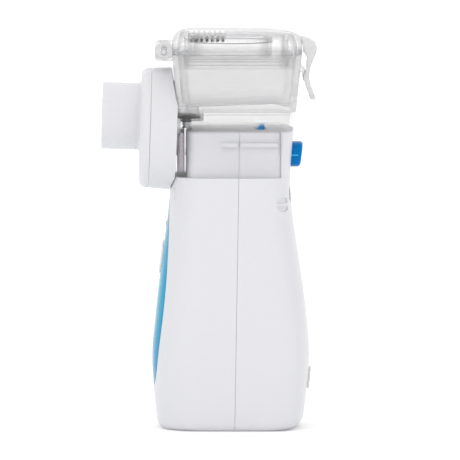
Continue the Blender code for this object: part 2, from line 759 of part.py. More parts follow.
def leads():
    """Short wires between the battery contacts, the board and the cup contacts."""
    for side, finish_name, tag in ((-1, "red_wire", "red"), (1, "black_wire", "black")):
        knots = [
            (side * 7.6, 12.4 if side > 0 else 13.4, 65.2),
            (side * 7.4, 9.0, 67.6),
            (side * 6.0, 0.0, 69.6),
            (side * 5.4, -7.4, 70.6),
            (side * 5.2, -10.6, 70.7),
        ]
        lead = wire(f"battery_lead_{tag}", curve_through(knots, 4), 0.55)
        lead.data.materials.append(material(finish_name))
    for side, tag in ((-1, "left"), (1, "right")):
        knots = [
            (side * CONTACT_X, -10.9, CONTACT_HEIGHT - 0.2),
            (side * 9.6, -9.2, 88.6),
            (side * 8.0, -8.6, 84.0),
            (side * 5.6, -8.0, 77.0),
            (side * 5.4, -8.4, 73.4),
            (side * 7.6, -9.4, 71.0),
            (side * 8.4, -10.6, 69.4),
        ]
        lead = wire(f"contact_lead_{tag}", curve_through(knots, 4), 0.45)
        lead.data.materials.append(material("white_wire"))
        pin = turned(
            f"contact_pin_{tag}",
            ((0.0, 0.0), (0.6, -0.1), (0.9, -0.5), (0.9, -2.8), (1.5, -2.8), (1.5, -3.8), (0.0, -3.8)),
            (side * CONTACT_X, -15.0, CONTACT_HEIGHT),
            (0, -1, 0),
            16,
        )
        finish(pin, "gold_contact")


def port():
    board = block("port_board", (-6.4, 19.0, 13.4), (6.4, 22.2, 14.4))
    finish(board, "circuit_board")
    socket = block("port_socket", (-3.75, 17.9, 14.75), (3.75, 23.2, 17.7), 0.3)
    cut(socket, block("socket_mouth", (-3.35, 18.4, 15.15), (3.35, 30, 17.3)))
    finish(socket, "steel")
    cover = slab("port_cover", cover_outline(), "Y", 20.0, FAR)
    keep(cover, casing_form("cover_outside", -0.75, 0.0, SHOULDER))
    cut(cover, casing_form("cover_inside", 0.55, 0.0, SHOULDER))
    join(cover, block("cover_plug", (-3.6, 23.9, PORT_HEIGHT - 1.35), (3.6, 25.2, PORT_HEIGHT + 1.35)))
    finish(cover, "grey_silicone")


def battery_door():
    door = casing_form("battery_door", 0.0, 0.0, 9.0)
    plate = block(
        "door_plate",
        (-DOOR_HALF_WIDTH, DOOR_FRONT, -2.0),
        (DOOR_HALF_WIDTH, DOOR_REAR, DOOR_TOP),
    )
    tongue = block(
        "door_tongue",
        (-DOOR_KNUCKLE_HALF, DOOR_REAR - 1.0, -2.0),
        (DOOR_KNUCKLE_HALF, DOOR_HINGE[0], DOOR_TOP),
    )
    y, z = DOOR_HINGE
    half = DOOR_KNUCKLE_HALF
    keep(door, join(plate, tongue))
    for side, tag in ((-1, "left"), (1, "right")):
        swing = rod(f"edge_swing_{tag}", (side * half, y, z), (side * 17.0, y, z), DOOR_EDGE_SWING, 24)
        cut(door, swing)
    join(
        door,
        rod("door_knuckle", (-half, y, z), (half, y, z), 1.35, 20),
        rod("door_pips", (-half - 1.1, y, z), (half + 1.1, y, z), 0.8, 16),
    )
    finish(door, "white_shell")
    link = block("door_link_plate", (-12, 8.4, 3.0), (12, 14.4, 3.4))
    for side, tag in ((-1, "left"), (1, "right")):
        x = side * CELL_X
        join(link, rod(f"link_bump_{tag}", (x, CELL_Y, 3.2), (x, CELL_Y, CELL_LOW - GAP), 2.6, 16, 1.6))
    finish(link, "gold_contact")


def release_parts():
    z = RELEASE_HEIGHT
    cap = slab("release_button", oval(RELEASE_HALF_WIDTH, RELEASE_HALF_HEIGHT, z), "Y", 15.4, RELEASE_REAR)
    flange = slab("release_flange", oval(7.7, 5.3, z), "Y", 14.2, 15.9)
    wedge_outline = [(15.0, 91.2), (15.0, 94.9), (12.2, 94.9), (12.2, 93.9), (13.0, 92.6)]
    join(cap, flange, slab("release_wedge", wedge_outline, "X", -3.0, 3.0))
    finish(cap, "blue_button")
    spring = wire("release_spring", coil((0, 7.95, 88.2), (0, 1, 0), 2.5, 5.5, 4), 0.27)
    spring.data.materials.append(material("steel"))
    root_y, root_z = LATCH_ROOT
    outline = [
        (root_y - 2.5, root_z - 1.6),
        (root_y + 1.5, root_z - 1.4),
        (root_y + 2.5, root_z - 0.6),
        (10.8, 93.2),
        (13.4, 90.6),
        (14.0, 91.1),
        (11.2, 94.2),
        (10.9, 99.4),
        (9.6, 99.4),
        (8.2, 98.2),
        (8.2, 94.6),
        (root_y + 2.5, root_z + 0.7),
        (root_y + 1.0, root_z + 1.8),
        (root_y - 2.5, root_z + 1.8),
    ]
    arm = slab("release_latch", outline, "X", -TOOTH_HALF_WIDTH, TOOTH_HALF_WIDTH)
    finish(arm, "blue_button")


def cup_base():
    base = rows_form("cup_base", CUP_BASE, CUP_PLAN)
    skirt_inner = NECK_HALF_WIDTH + NECK_CLEARANCE
    cut(
        base,
        neck_form("skirt_inside", -NECK_CLEARANCE, 70.0, PLATE_LOW),
        block("skirt_way_out", (-skirt_inner, 0.0, 70.0), (skirt_inner, FAR, PLATE_LOW)),
        block("skirt_rear_low", (-FAR, SKIRT_REAR, 70), (FAR, FAR, RAIL_LOW + 0.6)),
        block("skirt_rear_high", (-FAR, SKIRT_REAR_ABOVE_RAIL, 70), (FAR, FAR, PLATE_LOW)),
        rows_form("tray", CUP_BASE, CUP_PLAN, CUP_WALL, PLATE_HIGH, CUP_BASE[-1][0] + 3.0),
        rod("boss_clearance", (0, -30, MESH_HEIGHT), (0, -14.9, MESH_HEIGHT), BOSS_RADIUS + GAP, 28),
        block("tooth_pocket", (-5.6, 7.6, 95), (5.6, 11.5, 110)),
    )
    for side, tag in ((-1, "left"), (1, "right")):
        cut(base, rail(side, "slot", extra=GAP, rear=30.0))
        x, room = side * CONTACT_X, STRIP_HALF_WIDTH + 0.4
        y, z = PIN_Y, PIN_LOW
        cut(base, rod(f"pin_hole_{tag}", (x, y, z - 2), (x, y, z + 3), PIN_RADIUS + GAP, 16))
        low = (x - room, STRIP_FRONT - 0.35, STRIP_LOW - 0.4)
        cut(base, block(f"strip_recess_{tag}", low, (x + room, -14.0, STRIP_HIGH + 0.8)))
    finish(base, "clear_plastic")
    for side, tag in ((-1, "left"), (1, "right")):
        x = side * CONTACT_X
        low = (x - STRIP_HALF_WIDTH, STRIP_FRONT, STRIP_LOW)
        strip = block(f"cup_contact_{tag}", low, (x + STRIP_HALF_WIDTH, STRIP_REAR, STRIP_HIGH), 0.1)
        finish(strip, "steel")


def trough_form(name, bottom, half_width, top):
    """A solid that stands on a run of (Y, Z) points and ends level at top."""
    outline = [(bottom[0][0], top), *bottom, (bottom[-1][0], top)]
    return slab(name, outline, "X", -half_width, half_width)


def reservoir():
    cup = rows_form("cup_reservoir", RESERVOIR, CUP_PLAN)
    boss = rod("mesh_boss", (0, BOSS_FRONT, MESH_HEIGHT), (0, BOSS_BACK, MESH_HEIGHT), BOSS_RADIUS, 28)
    sump = block("sump_block", (-6, -17.5, 100.8), (6, -9.0, 106.5))
    lug_outline = [(21.5, 116.8), (24.15, 116.8), (24.15, 117.6), (22.6, 119.6), (21.5, 119.6)]
    lug = slab("catch_lug", lug_outline, "X", -5.0, 5.0)
    join(cup, boss, sump, lug, trough_form("keel", KEEL, KEEL_HALF_WIDTH, 105.2))
    for side, tag in ((-1, "left"), (1, "right")):
        inner, outer = sorted((side * 5.5, side * 8.5))
        y, z = LID_HINGE
        ear = rod(f"hinge_ear_{tag}", (inner, y, z), (outer, y, z), KNUCKLE_RADIUS, 24)
        web = block(f"hinge_web_{tag}", (inner, y, z - 2.4), (outer, -18.4, z - 1.0))
        join(cup, ear, web)
    low, high = (plan_ring(*smooth(RESERVOIR, z), CUP_PLAN, z, CUP_WALL) for z in (107.4, 125.0))
    low = [(x, y, *smooth(FLOOR, y)) for x, y, z in low]
    cut(
        cup,
        loft("medicine_space", [low, high]),
        trough_form("trough", TROUGH, TROUGH_HALF_WIDTH, 112.0),
        rod("mesh_seat", (0, -30, MESH_HEIGHT), (0, BOSS_SEAT, MESH_HEIGHT), SEAT_RADIUS, 24),
        rod("outlet", (0, -20, 103.1), (0, -12.6, 103.1), 1.6, 16),
        rod("sump_bore", (0, -12.6, 101.5), (0, -12.6, 112), 2.2, 16),
        rod("pin_bore", (-10, *LID_HINGE), (10, *LID_HINGE), 1.3, 16),
        rod("knuckle_room", (-5.5, *LID_HINGE), (5.5, *LID_HINGE), KNUCKLE_RADIUS + GAP, 24),
    )
    finish(cup, "clear_plastic")
    for side, tag in ((-1, "left"), (1, "right")):
        radius, waist = PIN_RADIUS, PIN_RADIUS - 0.3
        upper = ((0.0, 2.6), (radius, 2.6), (radius, 2.2), (waist, 2.0))
        lower = ((waist, 0.5), (radius, 0.3), (radius, 0.0), (0.0, 0.0))
        place = (side * CONTACT_X, PIN_Y, PIN_LOW)
        finish(turned(f"cup_contact_pin_{tag}", upper + lower, place, (0, 0, 1), 20), "steel")


def mesh_unit():
    """The vibrating mesh in the cup's front: seal, mesh disc, piezo ring and retainer."""
    centre = (0, 0, MESH_HEIGHT)
    rings = (
        ("mesh_seal", 4.2, 8.15, -20.2, -18.9, "clear_silicone"),
        ("piezo_ring", 5.0, 7.9, -21.9, -21.15, "ceramic"),
        ("mesh_retainer", 5.6, 8.15, -23.3, -22.2, "grey_plastic"),
    )
    for name, inner, outer, front, rear, finish_name in rings:
        profile = ((inner, -front), (outer, -front), (outer, -rear), (inner, -rear))
        finish(turned(name, profile, centre, (0, -1, 0)), finish_name)
    dome = ((0.0, 21.3), (1.4, 21.2), (2.6, 20.85))
    rim = ((7.9, 20.85), (7.9, 20.55), (2.5, 20.55), (1.3, 20.9), (0.0, 21.0))
    finish(turned("mesh_plate", dome + rim, centre, (0, -1, 0)), "steel")


def lid_ring(height, inset=0.0):
    """One level of the lid, whose top edge is rounded, most of all at the front."""
    front, rear, half_width = LID
    front += foot_inset(LID_TOP - height, 4.0)
    rear -= foot_inset(LID_TOP - height, 3.0)
    half_width -= foot_inset(LID_TOP - height, 2.6)
    return plan_ring(front, rear, half_width, CUP_PLAN, height, inset)


def roof_drop(ring):
    """Lowers the roof's rear, which falls away towards the latch."""
    lowered = []
    for x, y, z in ring:
        share = (z - LID_SIDE_TOP) / (LID_TOP - LID_SIDE_TOP)
        lowered.append((x, y, z - ROOF_FALL * share * max(0.0, (y - 8.0) / 15.0) ** 1.6))
    return lowered


def lid():
    levels = (LID_SIDE_TOP, 126.8, 128.0, 129.0, 129.6, LID_TOP)
    shell = loft("lid", [lid_ring(LID_LOW), *(roof_drop(lid_ring(z)) for z in levels)])
    under = LID_TOP - LID_ROOF
    inside = [lid_ring(LID_LOW - 2, 1.8), lid_ring(LID_SIDE_TOP, 1.8)]
    inside.append(roof_drop([(x * 0.96, y * 0.96, under) for x, y, z in lid_ring(126.8, 1.8)]))
    cut(shell, loft("lid_inside", inside))
    inset_roof = under + 0.6
    plug = loft("lid_plug", [plug_ring(z, 0.0) for z in (118.9, inset_roof)])
    cut(plug, loft("plug_inside", [plug_ring(z, 1.2) for z in (117.0, 131.0)]))
    profile = (
        (COLLAR_RADIUS, inset_roof),
        (COLLAR_RADIUS, COLLAR_LOW),
        (COLLAR_RADIUS - COLLAR_WALL, COLLAR_LOW),
        (COLLAR_RADIUS - COLLAR_WALL, inset_roof),
    )
    collar = turned("lid_collar", profile, (0, 0, 0), (0, 0, 1), 24)
    y, z = LID_HINGE
    knuckle = rod("lid_knuckle", (-5.2, y, z), (5.2, y, z), KNUCKLE_RADIUS, 24)
    web_outline = [(y, z + 1.0), (y, z + 2.5), (-18.2, z + 2.5), (-18.2, z + 0.2), (-19.0, z + 0.2)]
    web = slab("lid_web", web_outline, "X", -5.2, 5.2)
    join(shell, plug, collar, knuckle, web)
    for side, tag in ((-1, "left"), (1, "right")):
        ear_room = rod(f"ear_room_{tag}", (side * 5.3, y, z), (side * 8.8, y, z), KNUCKLE_RADIUS + GAP, 24)
        cut(shell, ear_room)
    cut(shell, rod("lid_pin_bore", (-10, y, z), (10, y, z), 1.3, 16))
    for number in range(VENT_COUNT):
        centre = VENT_FIRST + VENT_PITCH * number
        low = (-VENT_HALF_LENGTH, centre - VENT_WIDTH / 2, under - 0.4)
        high = (VENT_HALF_LENGTH, centre + VENT_WIDTH / 2, LID_TOP + 2)
        cut(shell, block(f"vent_{number + 1}", low, high))
    finish(shell, "clear_plastic")
    seal = loft("lid_seal", [seal_ring(z, 0.0) for z in (SEAL_LOW, SEAL_HIGH)])
    cut(seal, loft("seal_inside", [seal_ring(z, SEAL_THICKNESS) for z in (SEAL_LOW - 2, SEAL_HIGH + 2)]))
    finish(seal, "clear_silicone")
    pin = rod("lid_hinge_pin", (-8.4, y, z), (8.4, y, z), 1.0, 16)
    finish(pin, "steel")


def seal_ring(height, inset):
    """The seal stands just inside the cup's mouth, and further in at the rear, where it swings."""
    return plan_ring(-17.0, 20.4, 19.7, CUP_PLAN, height, inset)


def plug_ring(height, inset):
    return plan_ring(-15.4, 18.8, 18.1, CUP_PLAN, height, inset)


def lid_latch():
    outline = [
        (23.75, 127.6),
        (25.6, 127.1),
        (27.3, 126.2),
        (28.2, 125.0),
        (27.9, 123.6),
        (26.9, 121.4),
        (25.9, 118.4),
        (25.6, 115.4),
        (26.2, 112.0),
        (27.4, 108.4),
        (25.8, 108.1),
        (24.6, 111.4),
        (23.9, 114.6),
        (23.4, 115.6),
        (23.4, 116.3),
        (24.6, 116.45),
        (24.7, 119.5),
        (25.0, 122.6),
        (23.75, 123.4),
    ]
    latch = slab("lid_latch", outline, "X", -LATCH_HALF_WIDTH, LATCH_HALF_WIDTH)
    finish(latch, "clear_plastic")


def tilted(obj):
    """Leans an adapter piece back about the foot of its flange, as it sits on the cup."""
    pivot = Vector((0, FLANGE_REAR, FLANGE_HEIGHT)) * MM
    lean = Matrix.Rotation(ADAPTER_TILT, 4, "X")
    obj.matrix_world = Matrix.Translation(pivot) @ lean @ Matrix.Translation(-pivot) @ obj.matrix_world
    return obj


def flange_turned(name, profile, steps=28):
    """A profile of (radius, distance ahead of Y = 0) turned about the flange's axis."""
    return turned(name, profile, (0, 0, FLANGE_HEIGHT), (0, -1, 0), steps)


def adapter():
    ahead, split = -FLANGE_FRONT, -FLANGE_SPLIT
    edge = 2.6
    profile = [(0.0, ahead)]
    for step in range(5):
        angle = math.radians(90 - 22.5 * step)
        profile.append(
            (
                FLANGE_FRONT_RADIUS - edge + edge * math.cos(angle),
                ahead - edge + edge * math.sin(angle),
            )
        )
    profile += [(FLANGE_FRONT_RADIUS + 0.05, split + 0.15), (0.0, split + 0.15)]
    front = flange_turned("adapter_front", profile)
    tube = rod("mouth_tube", (0, TUBE_FRONT, MESH_HEIGHT), (0, -28, MESH_HEIGHT), TUBE_RADIUS, 28)
    bore = rod("mouth_bore", (0, TUBE_FRONT - 5, MESH_HEIGHT), (0, -20, MESH_HEIGHT), TUBE_BORE, 28)
    for piece in (front, tube, bore):
        tilted(piece)
    join(front, tube)
    cut(front, bore)
    finish(front, "white_shell")
    rear = -FLANGE_REAR
    profile = (
        (0.0, split - 0.15),
        (FLANGE_FRONT_RADIUS + 0.05, split - 0.15),
        (FLANGE_RADIUS, rear),
        (0.0, rear),
    )
    ring = tilted(flange_turned("adapter_ring", profile))
    hollow = ((0.0, split + 3), (17.6, split + 3), (17.6, 21.0), (0.0, 21.0))
    cut(ring, tilted(flange_turned("ring_hollow", hollow)))
    hole = rod("boss_hole", (0, -30, MESH_HEIGHT), (0, -10, MESH_HEIGHT), BOSS_RADIUS + 0.5, 28)
    cut(
        ring,
        hole,
        rows_form("ring_seat_low", CUP_BASE, CUP_PLAN, -0.45, 70, 104.4),
        rows_form("ring_seat_high", RESERVOIR, CUP_PLAN, -0.45, 104.3, 123.0),
        casing_form("ring_seat_body", -0.45, 60.0, SHOULDER + 0.3),
    )
    finish(ring, "white_shell")
    shape = bmesh.new()
    steps, minor_steps, major, minor = 28, 6, 13.2, 0.55
    loops = []
    for i in range(steps):
        angle = math.tau * i / steps
        spoke = Vector((math.cos(angle), 0, math.sin(angle)))
        loops.append(
            [
                shape.verts.new(
                    (
                        Vector((0, -22.5, MESH_HEIGHT))
                        + spoke * (major + minor * math.cos(math.tau * j / minor_steps))
                        + Vector((0, minor * math.sin(math.tau * j / minor_steps), 0))
                    )
                    * MM
                )
                for j in range(minor_steps)
            ]
        )
    for i, loop in enumerate(loops):
        following = loops[(i + 1) % steps]
        for j in range(minor_steps):
            k = (j + 1) % minor_steps
            shape.faces.new((loop[j], loop[k], following[k], following[j]))
    finish(from_bmesh("adapter_seal", shape), "grey_silicone", 180)


def hang(name, place, *names):
    """An empty on a joint's axis, which carries the pieces that move about it."""
    empty = bpy.data.objects.new(name, None)
    empty.empty_display_size = 5 * MM
    empty.location = Vector(place) * MM
    PARTS.objects.link(empty)
    bpy.context.view_layer.update()
    for piece in names:
        obj = bpy.data.objects[piece]
        place_before = obj.matrix_world.copy()
        obj.parent = empty
        obj.matrix_parent_inverse = empty.matrix_world.inverted()
        obj.matrix_world = place_before


front_shell()
rear_shell()
front_panel()
power_button()
indicator_lens()
circuit()
cells_and_contacts()
screws()
leads()
port()
battery_door()
release_parts()
cup_base()
reservoir()
mesh_unit()
lid()
lid_latch()
adapter()

hang("door_axis", (0, *DOOR_HINGE), "battery_door", "door_link_plate")
hang("port_cover_axis", (0, *PORT_COVER_HINGE), "port_cover")
hang("power_button_axis", BUTTON_CENTRE, "power_button", "switch_plunger")
hang("release_axis", (0, RELEASE_REAR, RELEASE_HEIGHT), "release_button")
hang("release_latch_axis", (0, *LATCH_ROOT), "release_latch")
hang("lid_axis", (0, *LID_HINGE), "lid", "lid_seal")
hang("lid_latch_axis", (0, *LATCH_HINGE), "lid_latch")
hang("adapter_axis", (0, FLANGE_REAR, MESH_HEIGHT), "adapter_front", "adapter_ring", "adapter_seal")
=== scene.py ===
"""Looks of the handheld mesh nebulizer: fine shells, clear plastic, materials, light and camera."""

import json
from math import copysign, cos, dist, pi, radians, sin, sqrt, tau

import bmesh
import bpy
from mathutils import Matrix, Vector

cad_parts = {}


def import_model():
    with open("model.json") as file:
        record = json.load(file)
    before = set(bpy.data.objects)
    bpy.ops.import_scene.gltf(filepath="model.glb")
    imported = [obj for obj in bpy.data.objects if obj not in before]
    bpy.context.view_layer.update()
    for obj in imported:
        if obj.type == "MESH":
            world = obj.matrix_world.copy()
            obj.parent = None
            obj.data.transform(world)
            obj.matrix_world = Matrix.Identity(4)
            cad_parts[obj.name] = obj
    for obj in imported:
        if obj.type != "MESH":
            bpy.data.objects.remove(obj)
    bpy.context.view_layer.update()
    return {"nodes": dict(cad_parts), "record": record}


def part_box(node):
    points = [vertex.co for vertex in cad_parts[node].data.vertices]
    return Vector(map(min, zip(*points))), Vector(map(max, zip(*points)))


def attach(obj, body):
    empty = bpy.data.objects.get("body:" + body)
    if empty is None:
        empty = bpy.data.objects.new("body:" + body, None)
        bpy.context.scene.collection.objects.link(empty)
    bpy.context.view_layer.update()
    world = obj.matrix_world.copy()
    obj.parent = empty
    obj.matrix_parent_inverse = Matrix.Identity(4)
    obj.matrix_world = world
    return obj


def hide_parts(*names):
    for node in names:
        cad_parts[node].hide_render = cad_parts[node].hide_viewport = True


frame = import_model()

# Sizes below are in millimetres, in the frame's axes: -Y to the mouthpiece, +Z up, base on Z = 0.
MM = 0.001
GAP = 0.3
FAR = 60.0
SIDES = ((-1, "left"), (1, "right"))


def span(node):
    """The lowest and highest corner of a CAD node, in millimetres."""
    low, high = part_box(node)
    return low / MM, high / MM


PANEL_BOX = span("front_panel")
SEAL_BOX = span("lid_seal")
RELEASE_BOX = span("release_button")

# Outer surface of the casing: height, front, rear and half width.
CASING = (
    (0.0, -23.9, 23.3, 22.4),
    (9.0, -25.0, 24.4, 23.3),
    (24.0, -25.9, 25.7, 24.0),
    (38.0, -24.7, 24.7, 23.5),
    (54.0, -22.9, 22.5, 22.4),
    (68.0, -21.0, 20.4, 21.5),
    (76.0, -20.1, 19.7, 21.1),
    (83.0, -19.7, 19.5, 21.0),
    (98.2, -19.4, 20.6, 21.0),
)
CASING_WALL = 2.2
FRONT_FOOT, REAR_FOOT = 2.6, 5.0
SHOULDER = 83.0
NECK = (-14.8, 18.4, 18.5)
NECK_CLEARANCE = 0.4
NECK_TOP, NECK_WALL = 98.1, 1.6
BACKREST_FRONT = 17.8
RAIL_LOW, RAIL_HIGH, RAIL_FRONT, RAIL_REAR, RAIL_PROUD = 93.2, 94.5, -3.0, 15.4, 1.0
PARTING_BASE, PARTING_LEAN = 1.2, 0.0163
LIP_DEPTH, LIP_THICKNESS, LIP_CLEARANCE = 0.2, 0.9, 0.03
PARTING_GAP = 0.2

# Plan shapes: front power, front depth, rear power, rear depth.
CASING_PLAN = (2.6, 15.0, 3.2, 10.0)
NECK_PLAN = (4.5, 6.5, 4.5, 7.0)
CUP_PLAN = (4.5, 7.0, 4.5, 8.0)
FINE, COARSE, OVAL_STEPS, PANEL_STEPS = 36, 14, 64, 120

# Clear cup: height, front, rear and half width.
CUP_BASE = (
    (83.15, -18.2, 19.6, 21.0),
    (98.6, -18.2, 20.9, 21.1),
    (104.2, -18.2, 21.3, 21.25),
)
RESERVOIR = (
    (104.5, -17.7, 21.4, 21.3),
    (123.0, -19.4, 23.3, 22.0),
)
SKIRT_REAR = (15.3, 16.2, 16.9)
PLATE_LOW, PLATE_HIGH, CUP_WALL = 98.6, 100.4, 1.8

# The cup's floor, as depth and height, and the trough that leads down it to the mesh.
FLOOR = ((-16.0, 106.3), (-8.7, 106.5), (12.4, 107.4), (19.7, 106.0))
FLOOR_FILLET = 1.6
TROUGH_HALF_WIDTH, KEEL_HALF_WIDTH = 11.0, 13.0
TROUGH = ((-11.6, 103.2), (-6.0, 103.4), (5.0, 104.9), (16.5, 106.0))
KEEL = ((-12.3, 101.4), (-6.0, 101.8), (5.0, 103.2), (17.5, 104.2))

MESH_HEIGHT = 101.6
MESH_AXIS = (0, MESH_HEIGHT)
SUMP_Y, SUMP_RADIUS = -12.6, 2.2
OUTLET_HEIGHT, OUTLET_RADIUS = 103.1, 1.6
SUMP_BLOCK = ((-6, -17.5, 100.8), (6, -9.0, 106.5))
BOSS_RADIUS, SEAT_RADIUS = 12.3, 8.5
BOSS_FRONT, BOSS_SEAT, BOSS_BACK = -23.4, -18.6, -16.6
FLANGE_HEIGHT, FLANGE_RADIUS, FLANGE_FRONT_RADIUS, FLANGE_EDGE = 98.05, 20.2, 19.7, 2.6
FLANGE_FRONT, FLANGE_SPLIT, FLANGE_REAR = -29.9, -26.4, -17.7
TUBE_RADIUS, TUBE_BORE, TUBE_FRONT = 11.0, 9.4, -42.5
ADAPTER_TILT = radians(-1.8)

# Front, rear and half width of the lid, its plug and its seal.
LID, LID_WALL = (-19.4, 23.4, 22.1), 1.8
PLUG, SEAL = (-15.4, 18.8, 18.1), (-17.0, 20.4, 19.7)
LID_FOOT, LID_SIDE_TOP, LID_TOP, LID_ROOF, ROOF_FALL = 123.3, 125.4, 129.8, 1.0, 1.5
LID_FRONT_EDGE, LID_REAR_EDGE, LID_SIDE_EDGE, FOOT_LINE = 4.0, 3.0, 1.0, 0.3
# Heights of the dark strips in the vents, which are painted shade.
VENT_SHADE_LOW, VENT_SHADE_HIGH = 126.95, 127.95
LID_HINGE = (-22.0, 123.8)
KNUCKLE_RADIUS = 3.0
COLLAR_RADIUS, COLLAR_WALL, COLLAR_LOW = 13.4, 1.2, 121.9
VENT_COUNT, VENT_PITCH, VENT_FIRST, VENT_WIDTH, VENT_HALF_LENGTH = 7, 1.74, -13.1, 1.0, 7.3
RIM_HEIGHT = 126.7
SEAL_THICKNESS, SEAL_GROOVES = 1.3, (120.1, 121.2, 122.0)
LATCH_HALF_WIDTH = 7.0

PANEL_WIDEST, PANEL_HALF_WIDTH, PANEL_THICKNESS = 36.0, 15.8, 1.0
PANEL_FOOT, PANEL_TOP = 13.9, 75.4
PANEL_POWERS = (3.0, 2.0)
BUTTON_CENTRE = (0.0, -22.65, 55.9)
BUTTON_LEAN = radians(7.7)
BUTTON_RADIUS = 5.5

RELEASE_HEIGHT, RELEASE_HALF_WIDTH, RELEASE_HALF_HEIGHT = 89.7, 6.5, 4.2
RELEASE_SLANT, RELEASE_SLANT_FROM, RELEASE_EDGE, RIDGE_HALF_HEIGHT = 0.12, 20.0, 1.1, 0.2
DOOR_HINGE = (19.6, 1.6)
DOOR_HALF_WIDTH, DOOR_FRONT, DOOR_REAR, DOOR_TOP, DOOR_KNUCKLE_HALF = 15.5, 3.9, 18.0, 2.6, 7.5
PORT_HEIGHT, PORT_HALF_WIDTH, PORT_HALF_HEIGHT = 16.3, 4.2, 1.9
DOOR_SWEEP, DOOR_PIVOT_BORE, DOOR_KNUCKLE_RADIUS, DOOR_PIP_RADIUS = 2.05, 1.1, 1.35, 0.8
DOOR_BOSS_X, DOOR_BOSS_HALF = 9.3, 1.1
GRIP_COUNT, GRIP_FIRST, GRIP_PITCH, GRIP_HALF = 4, 5.6, 1.3, 0.35
SCREW_X, SCREW_HEIGHT, SCREW_HEAD_SEAT = 10.0, 77.0, 7.5
SCREW_BOSS, SCREW_PILOT, SCREW_POST, SCREW_WELL, SCREW_HOLE = 3.0, 1.3, 3.3, 2.5, 1.35
HOOK_X, HOOK_LOW, HOOK_HIGH = (17.0, 20.4), 6.4, 9.0
STRAP, STRAP_RADIUS = (17.2, 74.2), 2.3
STRAP_DEPTH, STRAP_BAR_HALF = 0.45, 0.45
CONTACT_X, CONTACT_HEIGHT, CONTACT_HOLE, CONTACT_DIMPLE = 9.5, 90.5, 1.3, 0.9
PIN_Y, PIN_LOW, PIN_RADIUS = -14.6, 98.9, 1.5
STRIP_FRONT, STRIP_REAR, STRIP_HALF_WIDTH, STRIP_LOW, STRIP_HIGH = -17.6, -15.3, 1.5, 84.4, 97.4
GASKET_HALF_WIDTH = 7.0
LENS_HALF_WIDTH, LENS_LOW, LENS_HIGH = 2.6, 65.4, 67.6
COVER_HEIGHT, COVER_HALF_WIDTH, COVER_HALF_HEIGHT = 16.2, 6.9, 3.4
COVER_POWER, COVER_ROOM = 4.0, 0.4
DOOR_EDGE_SWING = 2.25

# The neck's slot for the release latch, and the cup's pocket for its tooth.
LATCH_SLOT = ((-5.4, 7.8, 94), (5.4, 11.3, 105))
TOOTH_POCKET = ((-5.6, 7.6, 95), (5.6, 11.5, 110))

# Bores, widths and limits that more than one piece shares.
PIN_BORE, EAR_INNER, EAR_OUTER, KNUCKLE_HALF_WIDTH = 1.3, 5.5, 8.5, 5.2
PANEL_LIMIT, PARTING_ENDS = -8.0, (-5.0, 105.0)

# The view and its light. The floor's size and what follows it are in metres.
VIEW_WIDTH, VIEW_DISTANCE, VIEW_AIM = 151.06, 6000.0, (0.0, -0.33, 64.6)
VIEW_ELEVATION = radians(4.3)
SENSOR_WIDTH = 36.0
FLOOR_SIZE, VIEW_CLIP, LIGHT_AIM = 20.0, (0.01, 60.0), Vector((0, 0, 0.07))


# ---------------------------------------------------------------- mesh helpers

def link(obj):
    bpy.context.scene.collection.objects.link(obj)
    return obj


def from_bmesh(name, shape):
    bmesh.ops.recalc_face_normals(shape, faces=shape.faces)
    mesh = bpy.data.meshes.new(name)
    shape.to_mesh(mesh)
    shape.free()
    return link(bpy.data.objects.new(name, mesh))


def superellipse(angle, power):
    c, s = cos(angle), sin(angle)
    return copysign(abs(c) ** (2 / power), c), copysign(abs(s) ** (2 / power), s)


def even_angles(power, steps):
    """Angles over half a turn that space a superellipse's points about evenly."""
    count = steps * 24
    fine = [pi * i / count for i in range(count + 1)]
    points = [superellipse(angle, power) for angle in fine]
    lengths = [0.0]
    for a, b in zip(points, points[1:]):
        lengths.append(lengths[-1] + dist(a, b))
    angles, k = [], 0
    for step in range(steps // 2):
        while lengths[k + 1] < lengths[-1] * step / steps:
            k += 1
        angles.append(fine[k])
    return [*angles, pi / 2, *(pi - angle for angle in reversed(angles))]


ANGLES = {
    (power, steps): even_angles(power, steps) for power in (2.6, 3.2, 4.5) for steps in (FINE, COARSE)
}


def plan_ring(front, rear, half_width, shape, height, inset=0.0, steps=FINE):
    """One level of a casing or cup: rounded ends at front and rear, straight sides between."""
    front_power, front_depth, rear_power, rear_depth = shape
    front, rear, half_width = front + inset, rear - inset, half_width - inset
    front_depth, rear_depth = front_depth - inset, rear_depth - inset
    ring = []
    for angle in ANGLES[front_power, steps]:
        x, y = superellipse(pi + angle, front_power)
        ring.append((x * half_width, front + front_depth + y * front_depth, height))
    for angle in ANGLES[rear_power, steps]:
        x, y = superellipse(angle, rear_power)
        ring.append((x * half_width, rear - rear_depth + y * rear_depth, height))
    return ring


def cap(shape, ring):
    """Closes a plan ring with strips that run straight across it, from side to side."""
    steps = len(ring) // 2 - 1
    front, rear = ring[: steps + 1], ring[steps + 1 :]
    shape.faces.new((front[0], front[-1], rear[0], rear[-1]))
    for end in (front, rear):
        for k in range(steps // 2):
            corners = [end[k], end[k + 1], end[steps - k - 1], end[steps - k]]
            if corners[1] == corners[2]:
                corners.pop(2)
            shape.faces.new(corners)


def levels_of(rings):
    """A new shape with a row of vertices for each ring."""
    shape = bmesh.new()
    return shape, [[shape.verts.new(Vector(point) * MM) for point in ring] for ring in rings]


def wall(shape, levels):
    for lower, upper in zip(levels, levels[1:]):
        for i in range(len(lower)):
            j = (i + 1) % len(lower)
            shape.faces.new((lower[i], lower[j], upper[j], upper[i]))


def loft(name, rings):
    """A closed solid through plan rings, from the lowest up."""
    shape, levels = levels_of(rings)
    wall(shape, levels)
    cap(shape, levels[0])
    cap(shape, levels[-1])
    return from_bmesh(name, shape)


def flat_ended(rings):
    """The shape of a closed solid through rings of equal count, with flat ends."""
    shape, levels = levels_of(rings)
    shape.faces.new(levels[0])
    shape.faces.new(levels[-1])
    wall(shape, levels)
    return shape


